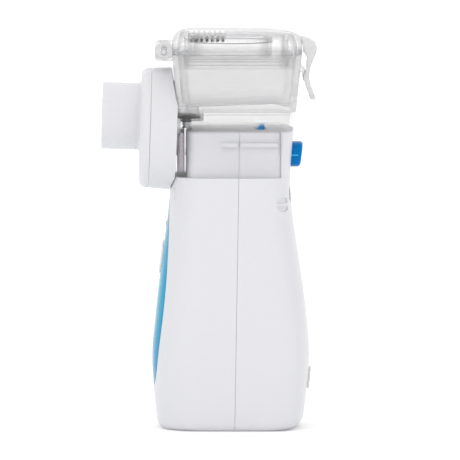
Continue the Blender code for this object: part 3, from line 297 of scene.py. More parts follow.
def round_edges(shape, edges, size):
    bmesh.ops.bevel(shape, geom=edges, offset=size * MM, segments=3, profile=0.5, affect="EDGES")


def block(name, one, other, bevel=0.0):
    """A box between two opposite corners."""
    shape = bmesh.new()
    bmesh.ops.create_cube(shape, size=1.0)
    bmesh.ops.scale(shape, vec=[abs(b - a) * MM for a, b in zip(one, other)], verts=shape.verts)
    bmesh.ops.translate(shape, vec=[(a + b) / 2 * MM for a, b in zip(one, other)], verts=shape.verts)
    if bevel:
        round_edges(shape, shape.edges[:], bevel)
    return from_bmesh(name, shape)


def along(axis):
    return Vector(axis).to_track_quat("Z", "Y").to_matrix().to_4x4()


def tilted_rod(name, start, end, radius, sides):
    start, end = Vector(start) * MM, Vector(end) * MM
    shape = bmesh.new()
    sizes = {"radius1": radius * MM, "radius2": radius * MM, "depth": (end - start).length}
    bmesh.ops.create_cone(shape, cap_ends=True, segments=sides, **sizes)
    place = Matrix.Translation((start + end) / 2) @ along(end - start)
    bmesh.ops.transform(shape, matrix=place, verts=shape.verts)
    return from_bmesh(name, shape)


def placed(spot, axis, depth):
    """A point at a depth along an axis. spot holds its two other coordinates, in their order."""
    side = "XYZ".index(axis)
    return (*spot[:side], depth, *spot[side:])


def rod(name, axis, spot, start, end, radius, sides=64):
    return tilted_rod(name, placed(spot, axis, start), placed(spot, axis, end), radius, sides)


def turned(name, profile, centre, axis, steps=72):
    """A (radius, height) profile turned about an axis through centre."""
    shape = bmesh.new()
    rows = []
    for radius, height in profile:
        row = []
        for i in range(steps if radius else 1):
            angle = tau * i / steps
            row.append((radius * MM * cos(angle), radius * MM * sin(angle), height * MM))
        rows.append([shape.verts.new(point) for point in row])
    pairs = list(zip(rows, rows[1:]))
    if len(rows[0]) > 1 and len(rows[-1]) > 1:
        pairs.append((rows[-1], rows[0]))
    for one, two in pairs:
        for i in range(steps):
            j = (i + 1) % steps
            corners = [one[i % len(one)], one[j % len(one)], two[j % len(two)], two[i % len(two)]]
            corners = list(dict.fromkeys(corners))
            if len(corners) > 2:
                shape.faces.new(corners)
    place = Matrix.Translation(Vector(centre) * MM) @ along(axis)
    bmesh.ops.transform(shape, matrix=place, verts=shape.verts)
    return from_bmesh(name, shape)


def pipe(name, inner, outer, low, high):
    """An upright ring about the Z axis."""
    profile = [(outer, high), (outer, low), (inner, low), (inner, high)]
    return turned(name, profile, (0, 0, 0), (0, 0, 1), 96)


def arc(centre, radius, start, end, steps=6):
    """Points of an arc, with its angles in degrees."""
    points = []
    for i in range(steps + 1):
        angle = radians(start + (end - start) * i / steps)
        points.append((centre[0] + radius * cos(angle), centre[1] + radius * sin(angle)))
    return points


def slab(name, outline, axis, start, end, bevel=0.0):
    """A flat outline made thick along an axis: (Y, Z) points along X, (X, Z) points along Y."""
    shape = flat_ended([[placed(spot, axis, depth) for spot in outline] for depth in (start, end)])
    if bevel:
        side = "XYZ".index(axis)
        rims = [edge for edge in shape.edges if edge.verts[0].co[side] == edge.verts[1].co[side]]
        round_edges(shape, rims, bevel)
    return from_bmesh(name, shape)


def through(knots, steps):
    """Points on a smooth curve through 2D knots."""
    knots = [Vector(knot) for knot in knots]
    padded = [2 * knots[0] - knots[1], *knots, 2 * knots[-1] - knots[-2]]
    points = []
    for before, first, second, after in zip(padded, padded[1:], padded[2:], padded[3:]):
        for step in range(steps):
            t = step / steps
            points.append(
                first
                + (second - before) * (t / 2)
                + (2 * before - 5 * first + 4 * second - after) * (t * t / 2)
                + (3 * first - before - 3 * second + after) * (t * t * t / 2)
            )
    return [*points, knots[-1]]


def combine(obj, tools, operation):
    """Applies one Boolean for each tool and removes the tools."""
    for tool in tools:
        modifier = obj.modifiers.new("combine", "BOOLEAN")
        modifier.operation = operation
        modifier.solver = "EXACT"
        modifier.object = tool
        bpy.context.view_layer.update()
        evaluated = obj.evaluated_get(bpy.context.evaluated_depsgraph_get())
        mesh = bpy.data.meshes.new_from_object(evaluated)
        obj.modifiers.clear()
        old = obj.data
        obj.data = mesh
        bpy.data.meshes.remove(old)
        bpy.data.objects.remove(tool, do_unlink=True)
    return obj


def cut(obj, *tools):
    return combine(obj, tools, "DIFFERENCE")


def join(obj, *tools):
    return combine(obj, tools, "UNION")


def keep(obj, *tools):
    return combine(obj, tools, "INTERSECT")


def smooth(rows, height):
    """The rows' values at a height, on a cubic through them."""
    index = 0
    while index < len(rows) - 2 and height > rows[index + 1][0]:
        index += 1
    low, high = rows[index], rows[index + 1]
    before = rows[max(index - 1, 0)]
    after = rows[min(index + 2, len(rows) - 1)]
    stretch = high[0] - low[0]
    t = (height - low[0]) / stretch
    values = []
    for column in range(1, len(low)):
        rise_low = (high[column] - before[column]) / (high[0] - before[0]) * stretch
        rise_high = (after[column] - low[column]) / (after[0] - low[0]) * stretch
        values.append(
            low[column] * (2 * t**3 - 3 * t**2 + 1)
            + rise_low * (t**3 - 2 * t**2 + t)
            + high[column] * (3 * t**2 - 2 * t**3)
            + rise_high * (t**3 - t**2)
        )
    return values


def steps_between(low, high, pitch):
    count = max(1, round((high - low) / pitch))
    return [low + (high - low) * i / count for i in range(count + 1)]


# ---------------------------------------------------------------- materials

MATERIALS = {}


def fill(tree, node, inputs):
    """Links each of a node's inputs to a socket, or sets it to a plain value."""
    for name, value in inputs.items():
        if isinstance(value, bpy.types.NodeSocket):
            tree.links.new(value, node.inputs[name])
        else:
            node.inputs[name].default_value = value


def add(tree, kind, inputs, **settings):
    node = tree.nodes.new(f"ShaderNode{kind}")
    for name, value in settings.items():
        setattr(node, name, value)
    fill(tree, node, inputs)
    return node


def material(name, colour):
    """A new material's tree, its shader and its object coordinates. colour is the flat view's."""
    made = bpy.data.materials.new(name)
    made.use_nodes = True
    made.diffuse_color = colour
    MATERIALS[name] = made
    tree = made.node_tree
    return tree, tree.nodes["Principled BSDF"], add(tree, "TexCoord", {}).outputs["Object"]


def noise(tree, place, scale, detail):
    return add(tree, "TexNoise", {"Vector": place, "Scale": scale, "Detail": detail}).outputs["Fac"]


def ranged(tree, value, low, high, start=0.3, end=0.7):
    """A value between start and end stretched to run from low to high."""
    inputs = {"Value": value, "From Min": start, "From Max": end, "To Min": low, "To Max": high}
    return add(tree, "MapRange", inputs).outputs["Result"]


def height_share(tree, place, low, high):
    """0 at the low height and 1 at the high one."""
    split = add(tree, "SeparateXYZ", {"Vector": place})
    return ranged(tree, split.outputs["Z"], 0.0, 1.0, low * MM, high * MM)


def mixed(tree, factor, one, two):
    return add(tree, "Mix", {0: factor, 6: one, 7: two}, data_type="RGBA").outputs[2]


def mixed_shaders(tree, factor, one, two):
    return add(tree, "MixShader", {0: factor, 1: one.outputs[0], 2: two.outputs[0]})


def bumped(tree, shader, height, distance, edge=0.0, strength=1.0):
    """Bump from a height, on normals that are rounded at the edges."""
    inputs = {"Height": height, "Distance": distance * MM, "Strength": strength}
    if edge:
        inputs["Normal"] = add(tree, "Bevel", {"Radius": edge * MM}, samples=4).outputs["Normal"]
    fill(tree, shader, {"Normal": add(tree, "Bump", inputs).outputs["Normal"]})


def linear(red, green, blue):
    """A colour given as the eye sees it, 0 to 255, as linear light."""
    channels = []
    for value in (red, green, blue):
        share = value / 255
        channels.append(share / 12.92 if share <= 0.04045 else ((share + 0.055) / 1.055) ** 2.4)
    return (*channels, 1.0)


def grey(value, blue=0.0):
    return (value, value, value + blue, 1.0)


def dimmed(colour, share):
    return (*(channel * share for channel in colour[:3]), 1.0)


def moulded(name, colour, roughness, grain=0.004, tint=0.03, edge=0.25, metallic=0.0, shine=0.5):
    """Moulded plastic, rubber or metal: fine grain, a little uneven in gloss and colour."""
    colour = linear(*colour)
    tree, shader, place = material(name, colour)
    cloud, sheen = noise(tree, place, 38.0, 3.0), noise(tree, place, 190.0, 5.0)
    inputs = {
        "Base Color": mixed(tree, cloud, colour, dimmed(colour, 1 - tint)),
        "Roughness": ranged(tree, sheen, roughness * 0.88, roughness * 1.14),
        "Metallic": metallic,
        "Specular IOR Level": shine,
    }
    fill(tree, shader, inputs)
    bumped(tree, shader, noise(tree, place, 2600.0, 2.0), grain, edge)


def clear(name, body, edge, haze, mist, straight=0.5, roughness=0.04, ior=1.4, wave=0.01, zone=None):
    """Clear moulded plastic: a little misty, passing light straight on, and darker seen edge-on.

    zone is (height, reach, haze, body): from height on, over reach, it turns to that haze and body.
    """
    tree, shader, place = material(name, (*body[:3], 0.35))
    flow = noise(tree, place, 420.0, 4.0)
    inputs = {
        "Base Color": body,
        "Roughness": ranged(tree, flow, roughness * 0.5, roughness * 1.6),
        "IOR": ior,
        "Transmission Weight": 1.0,
    }
    fill(tree, shader, inputs)
    bumped(tree, shader, noise(tree, place, 120.0, 2.0), wave)
    if zone:
        height, reach, zone_haze, zone_body = zone
        inside = height_share(tree, place, height, height + reach)
        amount = mixed(tree, inside, grey(haze), grey(zone_haze))
        tone = mixed(tree, inside, body, zone_body)
    else:
        amount, tone = ranged(tree, flow, haze * 0.9, haze * 1.1), body
    facing = add(tree, "LayerWeight", {"Blend": 0.5}).outputs["Facing"]
    steep = ranged(tree, facing, 0.0, 1.0, 0.45, 1.0)
    passing = add(tree, "BsdfTransparent", {"Color": mixed(tree, steep, tone, edge)})
    milky = add(tree, "BsdfDiffuse", {"Color": grey(mist)})
    both = mixed_shaders(tree, amount, mixed_shaders(tree, straight, shader, passing), milky)
    fill(tree, tree.nodes["Material Output"], {"Surface": both.outputs["Shader"]})


def brushed(name, colour, roughness):
    """Metal with fine lines of drawing or turning."""
    colour = linear(*colour)
    tree, shader, place = material(name, colour)
    stretch = add(tree, "Mapping", {"Vector": place, "Scale": (1.0, 1.0, 14.0)})
    lines = noise(tree, stretch.outputs["Vector"], 900.0, 3.0)
    inputs = {
        "Base Color": mixed(tree, lines, colour, dimmed(colour, 0.8)),
        "Roughness": ranged(tree, lines, roughness * 0.7, roughness * 1.4),
        "Metallic": 1.0,
    }
    fill(tree, shader, inputs)
    bumped(tree, shader, lines, 0.002, 0.1)


def panel_material():
    """Glossy blue, paler towards the top."""
    tree, shader, place = material("panel_blue", linear(38, 158, 208))
    ramp = add(tree, "ValToRGB", {"Fac": height_share(tree, place, PANEL_BOX[0].z, PANEL_BOX[1].z)})
    ramp.color_ramp.interpolation = "EASE"
    ramp.color_ramp.elements.new(0.5)
    stops = ((0.0, (0, 136, 180)), (0.55, (0, 150, 188)), (1.0, (84, 150, 174)))
    for element, (position, colour) in zip(ramp.color_ramp.elements, stops):
        element.position = position
        element.color = linear(*colour)
    flakes = ranged(tree, noise(tree, place, 900.0, 3.0), 0.0, 0.02)
    inputs = {
        "Base Color": mixed(tree, flakes, ramp.outputs["Color"], grey(1.0)),
        "Roughness": ranged(tree, noise(tree, place, 160.0, 4.0), 0.12, 0.2),
        "Specular IOR Level": 0.06,
    }
    fill(tree, shader, inputs)
    bumped(tree, shader, noise(tree, place, 1500.0, 2.0), 0.003, 0.25)


def board_material():
    """Green solder mask with paler tracks in it."""
    tree, shader, place = material("circuit_board", linear(18, 98, 55))
    turn = add(tree, "Mapping", {"Vector": place, "Rotation": (radians(90), 0, 0)})
    inputs = {
        "Vector": turn.outputs["Vector"],
        "Scale": 420.0,
        "Mortar Size": 0.035,
        "Color1": linear(16, 92, 52),
        "Color2": linear(20, 104, 58),
        "Mortar": linear(62, 150, 84),
    }
    tracks = add(tree, "TexBrick", inputs)
    fill(tree, shader, {"Base Color": tracks.outputs["Color"], "Roughness": 0.32})
    bumped(tree, shader, tracks.outputs["Fac"], 0.02, strength=0.6)


WHITE_GLOSS = {"grain": 0.001, "tint": 0.012, "edge": 0.0, "shine": 0.3}
CUP_ZONE = (107.8, -0.8, 0.2, grey(0.885))
BASE_ZONE = (100.5, 0.3, 0.04, grey(0.89))
moulded("shell_plastic", (215, 215, 219), 0.36, **WHITE_GLOSS)
moulded("adapter_plastic", (214, 214, 217), 0.3, **WHITE_GLOSS)
panel_material()
moulded("button_pale", (226, 229, 233), 0.22, shine=0.3)
moulded("button_blue", (0, 116, 188), 0.15, tint=0.08, shine=0.06)
clear("clear_plastic", grey(0.885), grey(0.7, 0.02), 0.12, 0.86, straight=0.6, zone=CUP_ZONE)
clear("clear_base", grey(0.985), grey(0.93), 0.02, 0.85, straight=0.9, ior=1.3, zone=BASE_ZONE)
clear("clear_lid", grey(0.986), grey(0.72, 0.01), 0.012, 0.85, straight=0.8, ior=1.3)
clear("clear_latch", grey(0.8), grey(0.7), 0.34, 0.8, roughness=0.1)
clear("clear_silicone", grey(0.985), grey(0.8), 0.02, 0.85, straight=0.9, ior=1.15, wave=0.0)
clear("groove_line", grey(0.66), grey(0.66), 0.1, 0.6, straight=0.95, ior=1.15)
clear("frosted_clear", (0.88, 0.94, 0.98, 1), grey(0.7), 0.35, 0.8, roughness=0.35)
# Paler cyan: a painted highlight along the release button's sides.
moulded("button_painted_highlight", (60, 188, 236), 0.3, shine=0.3)
brushed("contact_strip", (186, 178, 188), 0.3)
# A brighter copy of the button blue: painted light for the release latch's tooth, which gets little light
# behind the clear base.
moulded("latch_blue_painted_light", (0, 150, 225), 0.3, tint=0.05, shine=0.2)
moulded("cover_rubber", (226, 225, 221), 0.6, tint=0.05)
brushed("steel", (205, 206, 208), 0.24)
brushed("gold_contact", (226, 198, 132), 0.22)
moulded("ceramic", (222, 216, 200), 0.5, grain=0.01, tint=0.06)
board_material()
moulded("black_plastic", (34, 34, 37), 0.45, grain=0.008, tint=0.15)
moulded("grey_plastic", (120, 122, 126), 0.45, grain=0.008, tint=0.08)
moulded("cell_can", (60, 96, 160), 0.3, tint=0.1, metallic=0.4)
moulded("wire_red", (196, 36, 34), 0.4, tint=0.1, edge=0.0)
moulded("wire_black", (32, 32, 34), 0.4, tint=0.1, edge=0.0)
moulded("wire_white", (226, 225, 220), 0.4, tint=0.05, edge=0.0)

# Nodes that don't look like their slot.
LOOKS = {
    "cup_contact_left": "contact_strip",
    "cup_contact_right": "contact_strip",
    # The release latch takes a brighter blue than the button: painted light.
    "release_latch": "latch_blue_painted_light",
    "cup_base": "clear_base",
    "lid": "clear_lid",
    "lid_latch": "clear_latch",
}
SLOTS = {row["node"]: row["material_slot"] for row in frame["record"]["subparts"]}
BODY_OF = {
    node: body for body, members in frame["record"]["behaviour"]["bodies"].items() for node in members
}


def dress(obj, body, slot, look=None, sharp=32.0):
    """Gives a piece its look (its slot's material unless another look is named), its shading and the body it
    rides.
    """
    obj.data.materials.clear()
    obj.data.materials.append(MATERIALS[look or slot])
    obj.data.shade_smooth()
    obj.data.set_sharp_from_angle(angle=radians(sharp))
    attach(obj, body)


def stand_for(obj, node, sharp=32.0):
    """obj is the finished form of a CAD node."""
    dress(obj, BODY_OF[node], SLOTS[node], LOOKS.get(node), sharp)
    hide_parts(node)


# ---------------------------------------------------------------- casing

def foot_inset(height, radius):
    if height >= radius:
        return 0.0
    return radius - sqrt(radius**2 - (radius - height) ** 2)


def casing_ring(height, inset=0.0, steps=FINE):
    front, rear, half_width = smooth(CASING, height)
    front += foot_inset(height, FRONT_FOOT)
    half_width -= foot_inset(height, FRONT_FOOT)
    rear -= foot_inset(height, REAR_FOOT)
    return plan_ring(front, rear, half_width, CASING_PLAN, height, inset, steps)


def casing_form(name, inset, low, high, fine=True):
    """The casing's outer form, drawn in by inset, between two heights."""
    foot = [REAR_FOOT * (1 - cos(radians(angle))) for angle in range(0, 91, 9)]
    levels = sorted({low, high, *foot, *steps_between(REAR_FOOT, SHOULDER, 2.0 if fine else 9.0)})
    levels = [z for z in levels if low <= z <= high]
    return loft(name, [casing_ring(z, inset, FINE if fine else COARSE) for z in levels])


def neck_form(name, inset, low, high, steps=FINE):
    return loft(name, [plan_ring(*NECK, NECK_PLAN, z, inset, steps) for z in (low, high)])


def parting_at(height):
    return PARTING_BASE + PARTING_LEAN * height


def parting_band(name, front, rear):
    """The room between two distances behind the parting line."""
    near = [(parting_at(z) + front, z) for z in PARTING_ENDS]
    far = [(parting_at(z) + rear, z) for z in reversed(PARTING_ENDS)]
    return slab(name, [*near, *far], "X", -FAR, FAR)


def casing(name, side):
    """The hollow casing with its neck, on one side of the parting line."""
    body = casing_form(name, 0.0, 0.0, SHOULDER)
    join(body, loft("neck", [plan_ring(*NECK, NECK_PLAN, z, inset) for z, inset in neck_levels()]))
    if side > 0:
        levels = [(z, 0.05) for z in steps_between(SHOULDER - 1, 97.4, 2.0)]
        levels += [(97.8, 0.1), (98.1, 0.35), (98.2, 0.6)]
        backrest = loft("backrest", [casing_ring(z, inset) for z, inset in levels])
        join(body, keep(backrest, backrest_limit()))
    cut(
        body,
        casing_form("cavity", CASING_WALL, CASING_WALL, SHOULDER - 1.8, False),
        neck_form("neck_cavity", NECK_WALL, SHOULDER - 3, NECK_TOP - NECK_WALL, COARSE),
    )
    keep(body, parting_band("half", side * PARTING_GAP / 2, side * FAR))
    return join(body, parting_lip()) if side < 0 else body


def backrest_limit():
    """The room of the backrest, whose front corners run in softly to the neck's sides."""
    x, y = NECK[2] + NECK_CLEARANCE, BACKREST_FRONT
    outline = [(-FAR, y), (-x - 1.2, y), (-x + 0.6, y - 1.5), (x - 0.6, y - 1.5), (x + 1.2, y), (FAR, y)]
    outline += [(FAR, FAR), (-FAR, FAR)]
    return from_bmesh("limit", flat_ended([[(*point, z) for point in outline] for z in (70, 110)]))


def parting_lip():
    """The front shell's thin lip, which fills the foot of the groove between the shells."""
    lip = casing_form("lip", LIP_DEPTH, LIP_DEPTH, SHOULDER - LIP_DEPTH)
    join(lip, neck_form("lip_neck", LIP_DEPTH, SHOULDER - 3, NECK_TOP - LIP_DEPTH))
    inner = LIP_DEPTH + LIP_THICKNESS
    cut(
        lip,
        casing_form("lip_inside", inner, inner, SHOULDER - inner),
        neck_form("lip_neck_inside", inner, SHOULDER - 4, NECK_TOP - inner),
    )
    return keep(lip, parting_band("band", -PARTING_GAP / 2 - 0.3, PARTING_GAP / 2 - LIP_CLEARANCE))


def neck_levels():
    """Heights and insets of the neck, whose top edge is rounded."""
    edge = 0.8
    levels = [(SHOULDER - 2, 0.0)]
    for angle in map(radians, range(0, 91, 30)):
        levels.append((NECK_TOP - edge * (1 - sin(angle)), edge * (1 - cos(angle))))
    return levels


def rail(side, extra=0.0, front=RAIL_FRONT, rear=RAIL_REAR):
    """A rail on the neck's side, or with extra the slot that it runs in."""
    inner, outer = side * (NECK[2] - 0.6), side * (NECK[2] + RAIL_PROUD + extra)
    return block("rail", (inner, front - extra, RAIL_LOW - extra), (outer, rear, RAIL_HIGH + extra))


def panel_outline(grow=0.0):
    points = []
    for step in range(PANEL_STEPS):
        angle = tau * step / PANEL_STEPS
        upper = sin(angle) >= 0
        x, z = superellipse(angle, PANEL_POWERS[upper])
        rise = (PANEL_TOP if upper else 2 * PANEL_WIDEST - PANEL_FOOT) - PANEL_WIDEST
        points.append((x * (PANEL_HALF_WIDTH + grow), PANEL_WIDEST + z * (rise + grow)))
    return points


def button_point(depth):
    """A point on the power button's axis, depth behind the panel's face."""
    x, y, z = BUTTON_CENTRE
    return (x, y + depth * cos(BUTTON_LEAN), z - depth * sin(BUTTON_LEAN))


def front_openings(extra):
    reach = LENS_HALF_WIDTH + GAP
    return (
        tilted_rod("button_hole", button_point(-6), button_point(8), BUTTON_RADIUS + extra, 72),
        block("lens_hole", (-reach, -30, LENS_LOW - GAP), (reach, -15, LENS_HIGH + GAP)),
    )


def front_shell():
    shell = casing("front_shell_skin", -1)
    for side in (-1, 1):
        x, z = side * SCREW_X, SCREW_HEIGHT
        join(shell, rod("boss", "Y", (x, z), -18.6, parting_at(z) - GAP / 2, SCREW_BOSS, 32))
        cut(shell, rod("pilot", "Y", (x, z), -8, 4, SCREW_PILOT, 24))
        near, far = side * HOOK_X[0], side * HOOK_X[1]
        join(
            shell,
            block("hook", (near, -4.0, HOOK_LOW), (far, 4.6, HOOK_HIGH)),
            block("hook_root", (near, -4.0, HOOK_LOW), (far + side * 1.6, -1.0, HOOK_HIGH)),
            rail(side, rear=parting_at(RAIL_LOW) - GAP),
        )
        x, z = side * CONTACT_X, CONTACT_HEIGHT
        cut(shell, rod("contact_hole", "Y", (x, z), -18, -11, CONTACT_HOLE, 24))
    pocket = slab("pocket", panel_outline(GAP), "Y", -FAR, PANEL_LIMIT)
    cut(pocket, casing_form("pocket_floor", PANEL_THICKNESS + GAP, 8.0, SHOULDER))
    cut(shell, pocket, *front_openings(0.4))
    stand_for(shell, "front_shell")


def front_panel():
    panel = casing_form("front_panel_skin", 0.0, 10.0, 80.0)
    keep(panel, slab("limit", panel_outline(), "Y", -FAR, PANEL_LIMIT))
    cut(panel, casing_form("panel_back", PANEL_THICKNESS, 8.0, SHOULDER), *front_openings(0.4))
    stand_for(panel, "front_panel")


def oval(half_width, half_height, centre_height, power=2.5):
    turns = [superellipse(tau * step / OVAL_STEPS, power) for step in range(OVAL_STEPS)]
    return [(x * half_width, centre_height + z * half_height) for x, z in turns]


def cover_outline(grow=0.0):
    return oval(COVER_HALF_WIDTH + grow, COVER_HALF_HEIGHT + grow, COVER_HEIGHT, COVER_POWER)


def rear_shell():
    shell = casing("rear_shell_skin", 1)
    for side in (-1, 1):
        x, z = side * SCREW_X, SCREW_HEIGHT
        boss_x = side * DOOR_BOSS_X
        join(
            shell,
            rod("post", "Y", (x, z), parting_at(z) + GAP / 2, 17.2, SCREW_POST, 32),
            rail(side, front=parting_at(RAIL_LOW) + GAP),
            block("door_boss", (boss_x - DOOR_BOSS_HALF, 18.2, 1.0), (boss_x + DOOR_BOSS_HALF, 21.2, 4.4)),
        )
        cut(
            shell,
            rod("well", "Y", (x, z), SCREW_HEAD_SEAT, FAR, SCREW_WELL, 40),
            rod("hole", "Y", (x, z), -4, 12, SCREW_HOLE, 24),
        )
    width, reach = DOOR_HALF_WIDTH + GAP, DOOR_KNUCKLE_HALF + GAP
    port_low, port_high = PORT_HEIGHT - PORT_HALF_HEIGHT, PORT_HEIGHT + PORT_HALF_HEIGHT
    cut(
        shell,
        block("door_opening", (-width, DOOR_FRONT - GAP, -5), (width, DOOR_REAR + GAP, 4.2)),
        block("knuckle_opening", (-reach, 17.5, -5), (reach, DOOR_HINGE[0], 4.2)),
        rod("sweep", "X", DOOR_HINGE, -reach, reach, DOOR_SWEEP, 48),
        rod("pivot_bore", "X", DOOR_HINGE, -9.2, 9.2, DOOR_PIVOT_BORE, 32),
        block("port_opening", (-PORT_HALF_WIDTH, 18.0, port_low), (PORT_HALF_WIDTH, FAR, port_high)),
    )
    recess = slab("recess", cover_outline(COVER_ROOM), "Y", 20.0, FAR)
    cut(recess, casing_form("recess_floor", 0.9, 5.0, 30.0))
    release_hole = oval(RELEASE_HALF_WIDTH + 0.35, RELEASE_HALF_HEIGHT + 0.35, RELEASE_HEIGHT)
    cut(
        shell,
        recess,
        slab("release_hole", release_hole, "Y", 16.0, FAR),
        block("latch_slot", *LATCH_SLOT),
    )
    half_seat = [(5.6, 92.2), (5.6, 97.5), (7.2, 97.5), (7.2, 84.5)]
    seat = [*half_seat, *((-x, z) for x, z in reversed(half_seat))]
    join(shell, slab("spring_seat", seat, "Y", 6.0, 7.6))
    y, z = STRAP
    eyelet = rod("eyelet", "X", STRAP, 15, 30, STRAP_RADIUS, 48)
    bar = block("bar", (10, y - 4, z - STRAP_BAR_HALF), (40, y + 4, z + STRAP_BAR_HALF), 0.15)
    cut(eyelet, casing_form("eyelet_floor", STRAP_DEPTH, 66.0, SHOULDER), bar)
    cut(shell, eyelet)
    stand_for(shell, "rear_shell")


# ---------------------------------------------------------------- clear cup and lid

def cup_ring(sides, height, inset=0.0):
    """One level of a cup or lid piece, from its front, rear and half width."""
    return plan_ring(*sides, CUP_PLAN, height, inset)


def cup_form(name, rows, inset=0.0, low=None, high=None):
    """A form of the clear cup, drawn in by inset, between two heights or over all its rows."""
    levels = steps_between(low or rows[0][0], high or rows[-1][0], 2.5)
    return loft(name, [cup_ring(smooth(rows, z), z, inset) for z in levels])


def cup_base():
    base = cup_form("cup_base_skin", CUP_BASE)
    skirt_inner = NECK[2] + NECK_CLEARANCE
    low, middle, high = SKIRT_REAR
    skirt_rear = [(low, 80.0), (low, 83.3), (middle, RAIL_LOW), (middle + 0.2, RAIL_HIGH), (high, PLATE_LOW)]
    skirt_rear += [(FAR, PLATE_LOW), (FAR, 80.0)]
    cut(
        base,
        neck_form("skirt_inside", -NECK_CLEARANCE, 70.0, PLATE_LOW),
        block("way_out", (-skirt_inner, 0.0, 70.0), (skirt_inner, FAR, PLATE_LOW)),
        slab("skirt_rear", skirt_rear, "X", -FAR, FAR),
        cup_form("tray", CUP_BASE, CUP_WALL, PLATE_HIGH, CUP_BASE[-1][0] + 3.0),
        rod("boss_room", "Y", MESH_AXIS, -30, -14.9, BOSS_RADIUS + GAP, 72),
        block("tooth_pocket", *TOOTH_POCKET),
    )
    for side in (-1, 1):
        x = side * CONTACT_X
        cut(
            base,
            rail(side, extra=GAP, rear=30.0),
            rod("pin_hole", "Z", (x, PIN_Y), PIN_LOW - 2, PIN_LOW + 3, PIN_RADIUS + GAP, 32),
            block("strip_recess", (x - 1.9, STRIP_FRONT - 0.2, 84.1), (x + 1.9, -14.0, 97.7)),
        )
    stand_for(base, "cup_base", 28)


def reservoir():
    cup = cup_form("cup_reservoir_skin", RESERVOIR)
    lug = [(21.5, 116.8), (24.15, 116.8), (24.15, 117.6), (22.6, 119.6), (21.5, 119.6)]
    join(
        cup,
        rod("boss", "Y", MESH_AXIS, BOSS_FRONT, BOSS_BACK, BOSS_RADIUS, 96),
        block("sump_block", *SUMP_BLOCK, 0.6),
        slab("catch_lug", lug, "X", -5.0, 5.0, 0.2),
        trough_form("keel", KEEL, KEEL_HALF_WIDTH, 105.2, 0.6),
    )
    for inner, outer in ((-EAR_OUTER, -EAR_INNER), (EAR_INNER, EAR_OUTER)):
        join(cup, slab("ear", hinge_outline(-1), "X", inner, outer, 0.3))
    cut(
        cup,
        medicine_space(),
        trough_form("trough", TROUGH, TROUGH_HALF_WIDTH, 112.0, 0.8),
        rod("mesh_seat", "Y", MESH_AXIS, -30, BOSS_SEAT, SEAT_RADIUS, 72),
        rod("outlet", "Y", (0, OUTLET_HEIGHT), -20, SUMP_Y, OUTLET_RADIUS, 32),
        rod("sump_bore", "Z", (0, SUMP_Y), 101.5, 112, SUMP_RADIUS, 40),
        rod("pin_bore", "X", LID_HINGE, -10, 10, PIN_BORE, 32),
        rod("knuckle_room", "X", LID_HINGE, -EAR_INNER, EAR_INNER, KNUCKLE_RADIUS + GAP),
    )
    stand_for(cup, "cup_reservoir", 28)


def cup_contacts():
    """Contact strips with a dimple for each neck pin, the pins' dark collars, and the gasket."""
    for side, tag in SIDES:
        x = side * CONTACT_X
        low = (x - STRIP_HALF_WIDTH, STRIP_FRONT, STRIP_LOW)
        strip = block(f"cup_contact_{tag}_fine", low, (x + STRIP_HALF_WIDTH, STRIP_REAR, STRIP_HIGH), 0.25)
        cut(strip, rod("dimple", "Y", (x, CONTACT_HEIGHT), STRIP_REAR - 0.3, -14, CONTACT_DIMPLE, 32))
        stand_for(strip, f"cup_contact_{tag}")
        inner, outer = PIN_RADIUS - 0.5, PIN_RADIUS + 0.2
        collar = [(inner, 2.6), (outer - 0.05, 2.6), (outer, 2.0), (inner, 2.0)]
        ring = turned(f"pin_collar_{tag}", collar, (x, PIN_Y, PIN_LOW), (0, 0, 1), 40)
        dress(ring, "cup", "black_plastic")
    lens = through(((-17.3, 102.1), (-14.5, 102.75), (-11.6, 102.3), (-9.9, 101.9)), 5)
    lens += through(((-9.9, 101.85), (-12.5, 101.75), (-15.5, 101.5), (-17.3, 101.9)), 5)
    gasket = slab("sump_gasket", lens, "X", -GASKET_HALF_WIDTH, GASKET_HALF_WIDTH, 0.15)
    dress(gasket, "cup", "black_plastic")


def hinge_outline(side):
    """The hinge barrel in side view, squared off at its front foot (-1) or its front top (+1)."""
    y, z = LID_HINGE
    radius, corner = KNUCKLE_RADIUS, 1.2
    squared = arc((y - radius + corner, z + side * (radius - corner)), corner, 180, 180 - side * 90, 6)
    rounded = arc((y, z), radius, 180 + side * 90, 180, 12)
    outline = [*rounded, *squared]
    rear = [(y + radius + 0.6, z + side * radius), (y + radius + 0.6, z + side * 0.2)]
    return [*outline, *rear, *arc((y, z), radius, side * 4, -side * 90, 10)[:-1]]


def trough_form(name, bottom, half_width, top, bevel=0.0):
    """A solid that stands on a curve of (Y, Z) points and ends level at top."""
    outline = [(bottom[0][0], top), *through(bottom, 6), (bottom[-1][0], top)]
    return slab(name, outline, "X", -half_width, half_width, bevel)


def medicine_space():
    """The cup's inside: a floor that rises to the rear and rounds up into the walls."""
    level = FLOOR[2][1]
    rings = []
    for step in range(7):
        angle = radians(90 * step / 6)
        inset = CUP_WALL + FLOOR_FILLET * (1 - sin(angle))
        lift = FLOOR_FILLET * (1 - cos(angle))
        ring = cup_ring(smooth(RESERVOIR, level), 0.0, inset)
        rings.append([(x, y, smooth(FLOOR, y)[0] + lift) for x, y, _ in ring])
    for z in steps_between(level + FLOOR_FILLET + 1.2, 125.0, 3.0):
        rings.append(cup_ring(smooth(RESERVOIR, z), z, CUP_WALL))
    return loft("medicine_space", rings)


def lid_ring(height, inset=0.0):
    """One level of the lid, whose top edge is rounded, most of all at the front."""
    front, rear, half_width = LID
    front += foot_inset(LID_TOP - height, LID_FRONT_EDGE)
    rear -= foot_inset(LID_TOP - height, LID_REAR_EDGE)
    half_width -= foot_inset(LID_TOP - height, LID_SIDE_EDGE)
    return cup_ring((front, rear, half_width), height, inset)


def roof_drop(ring):
    """Lowers the roof's rear, which falls away towards the latch."""
    lowered = []
    for x, y, z in ring:
        share = (z - LID_SIDE_TOP) / (LID_TOP - LID_SIDE_TOP)
        lowered.append((x, y, z - ROOF_FALL * share * max(0.0, (y - 8.0) / 15.0) ** 1.6))
    return lowered


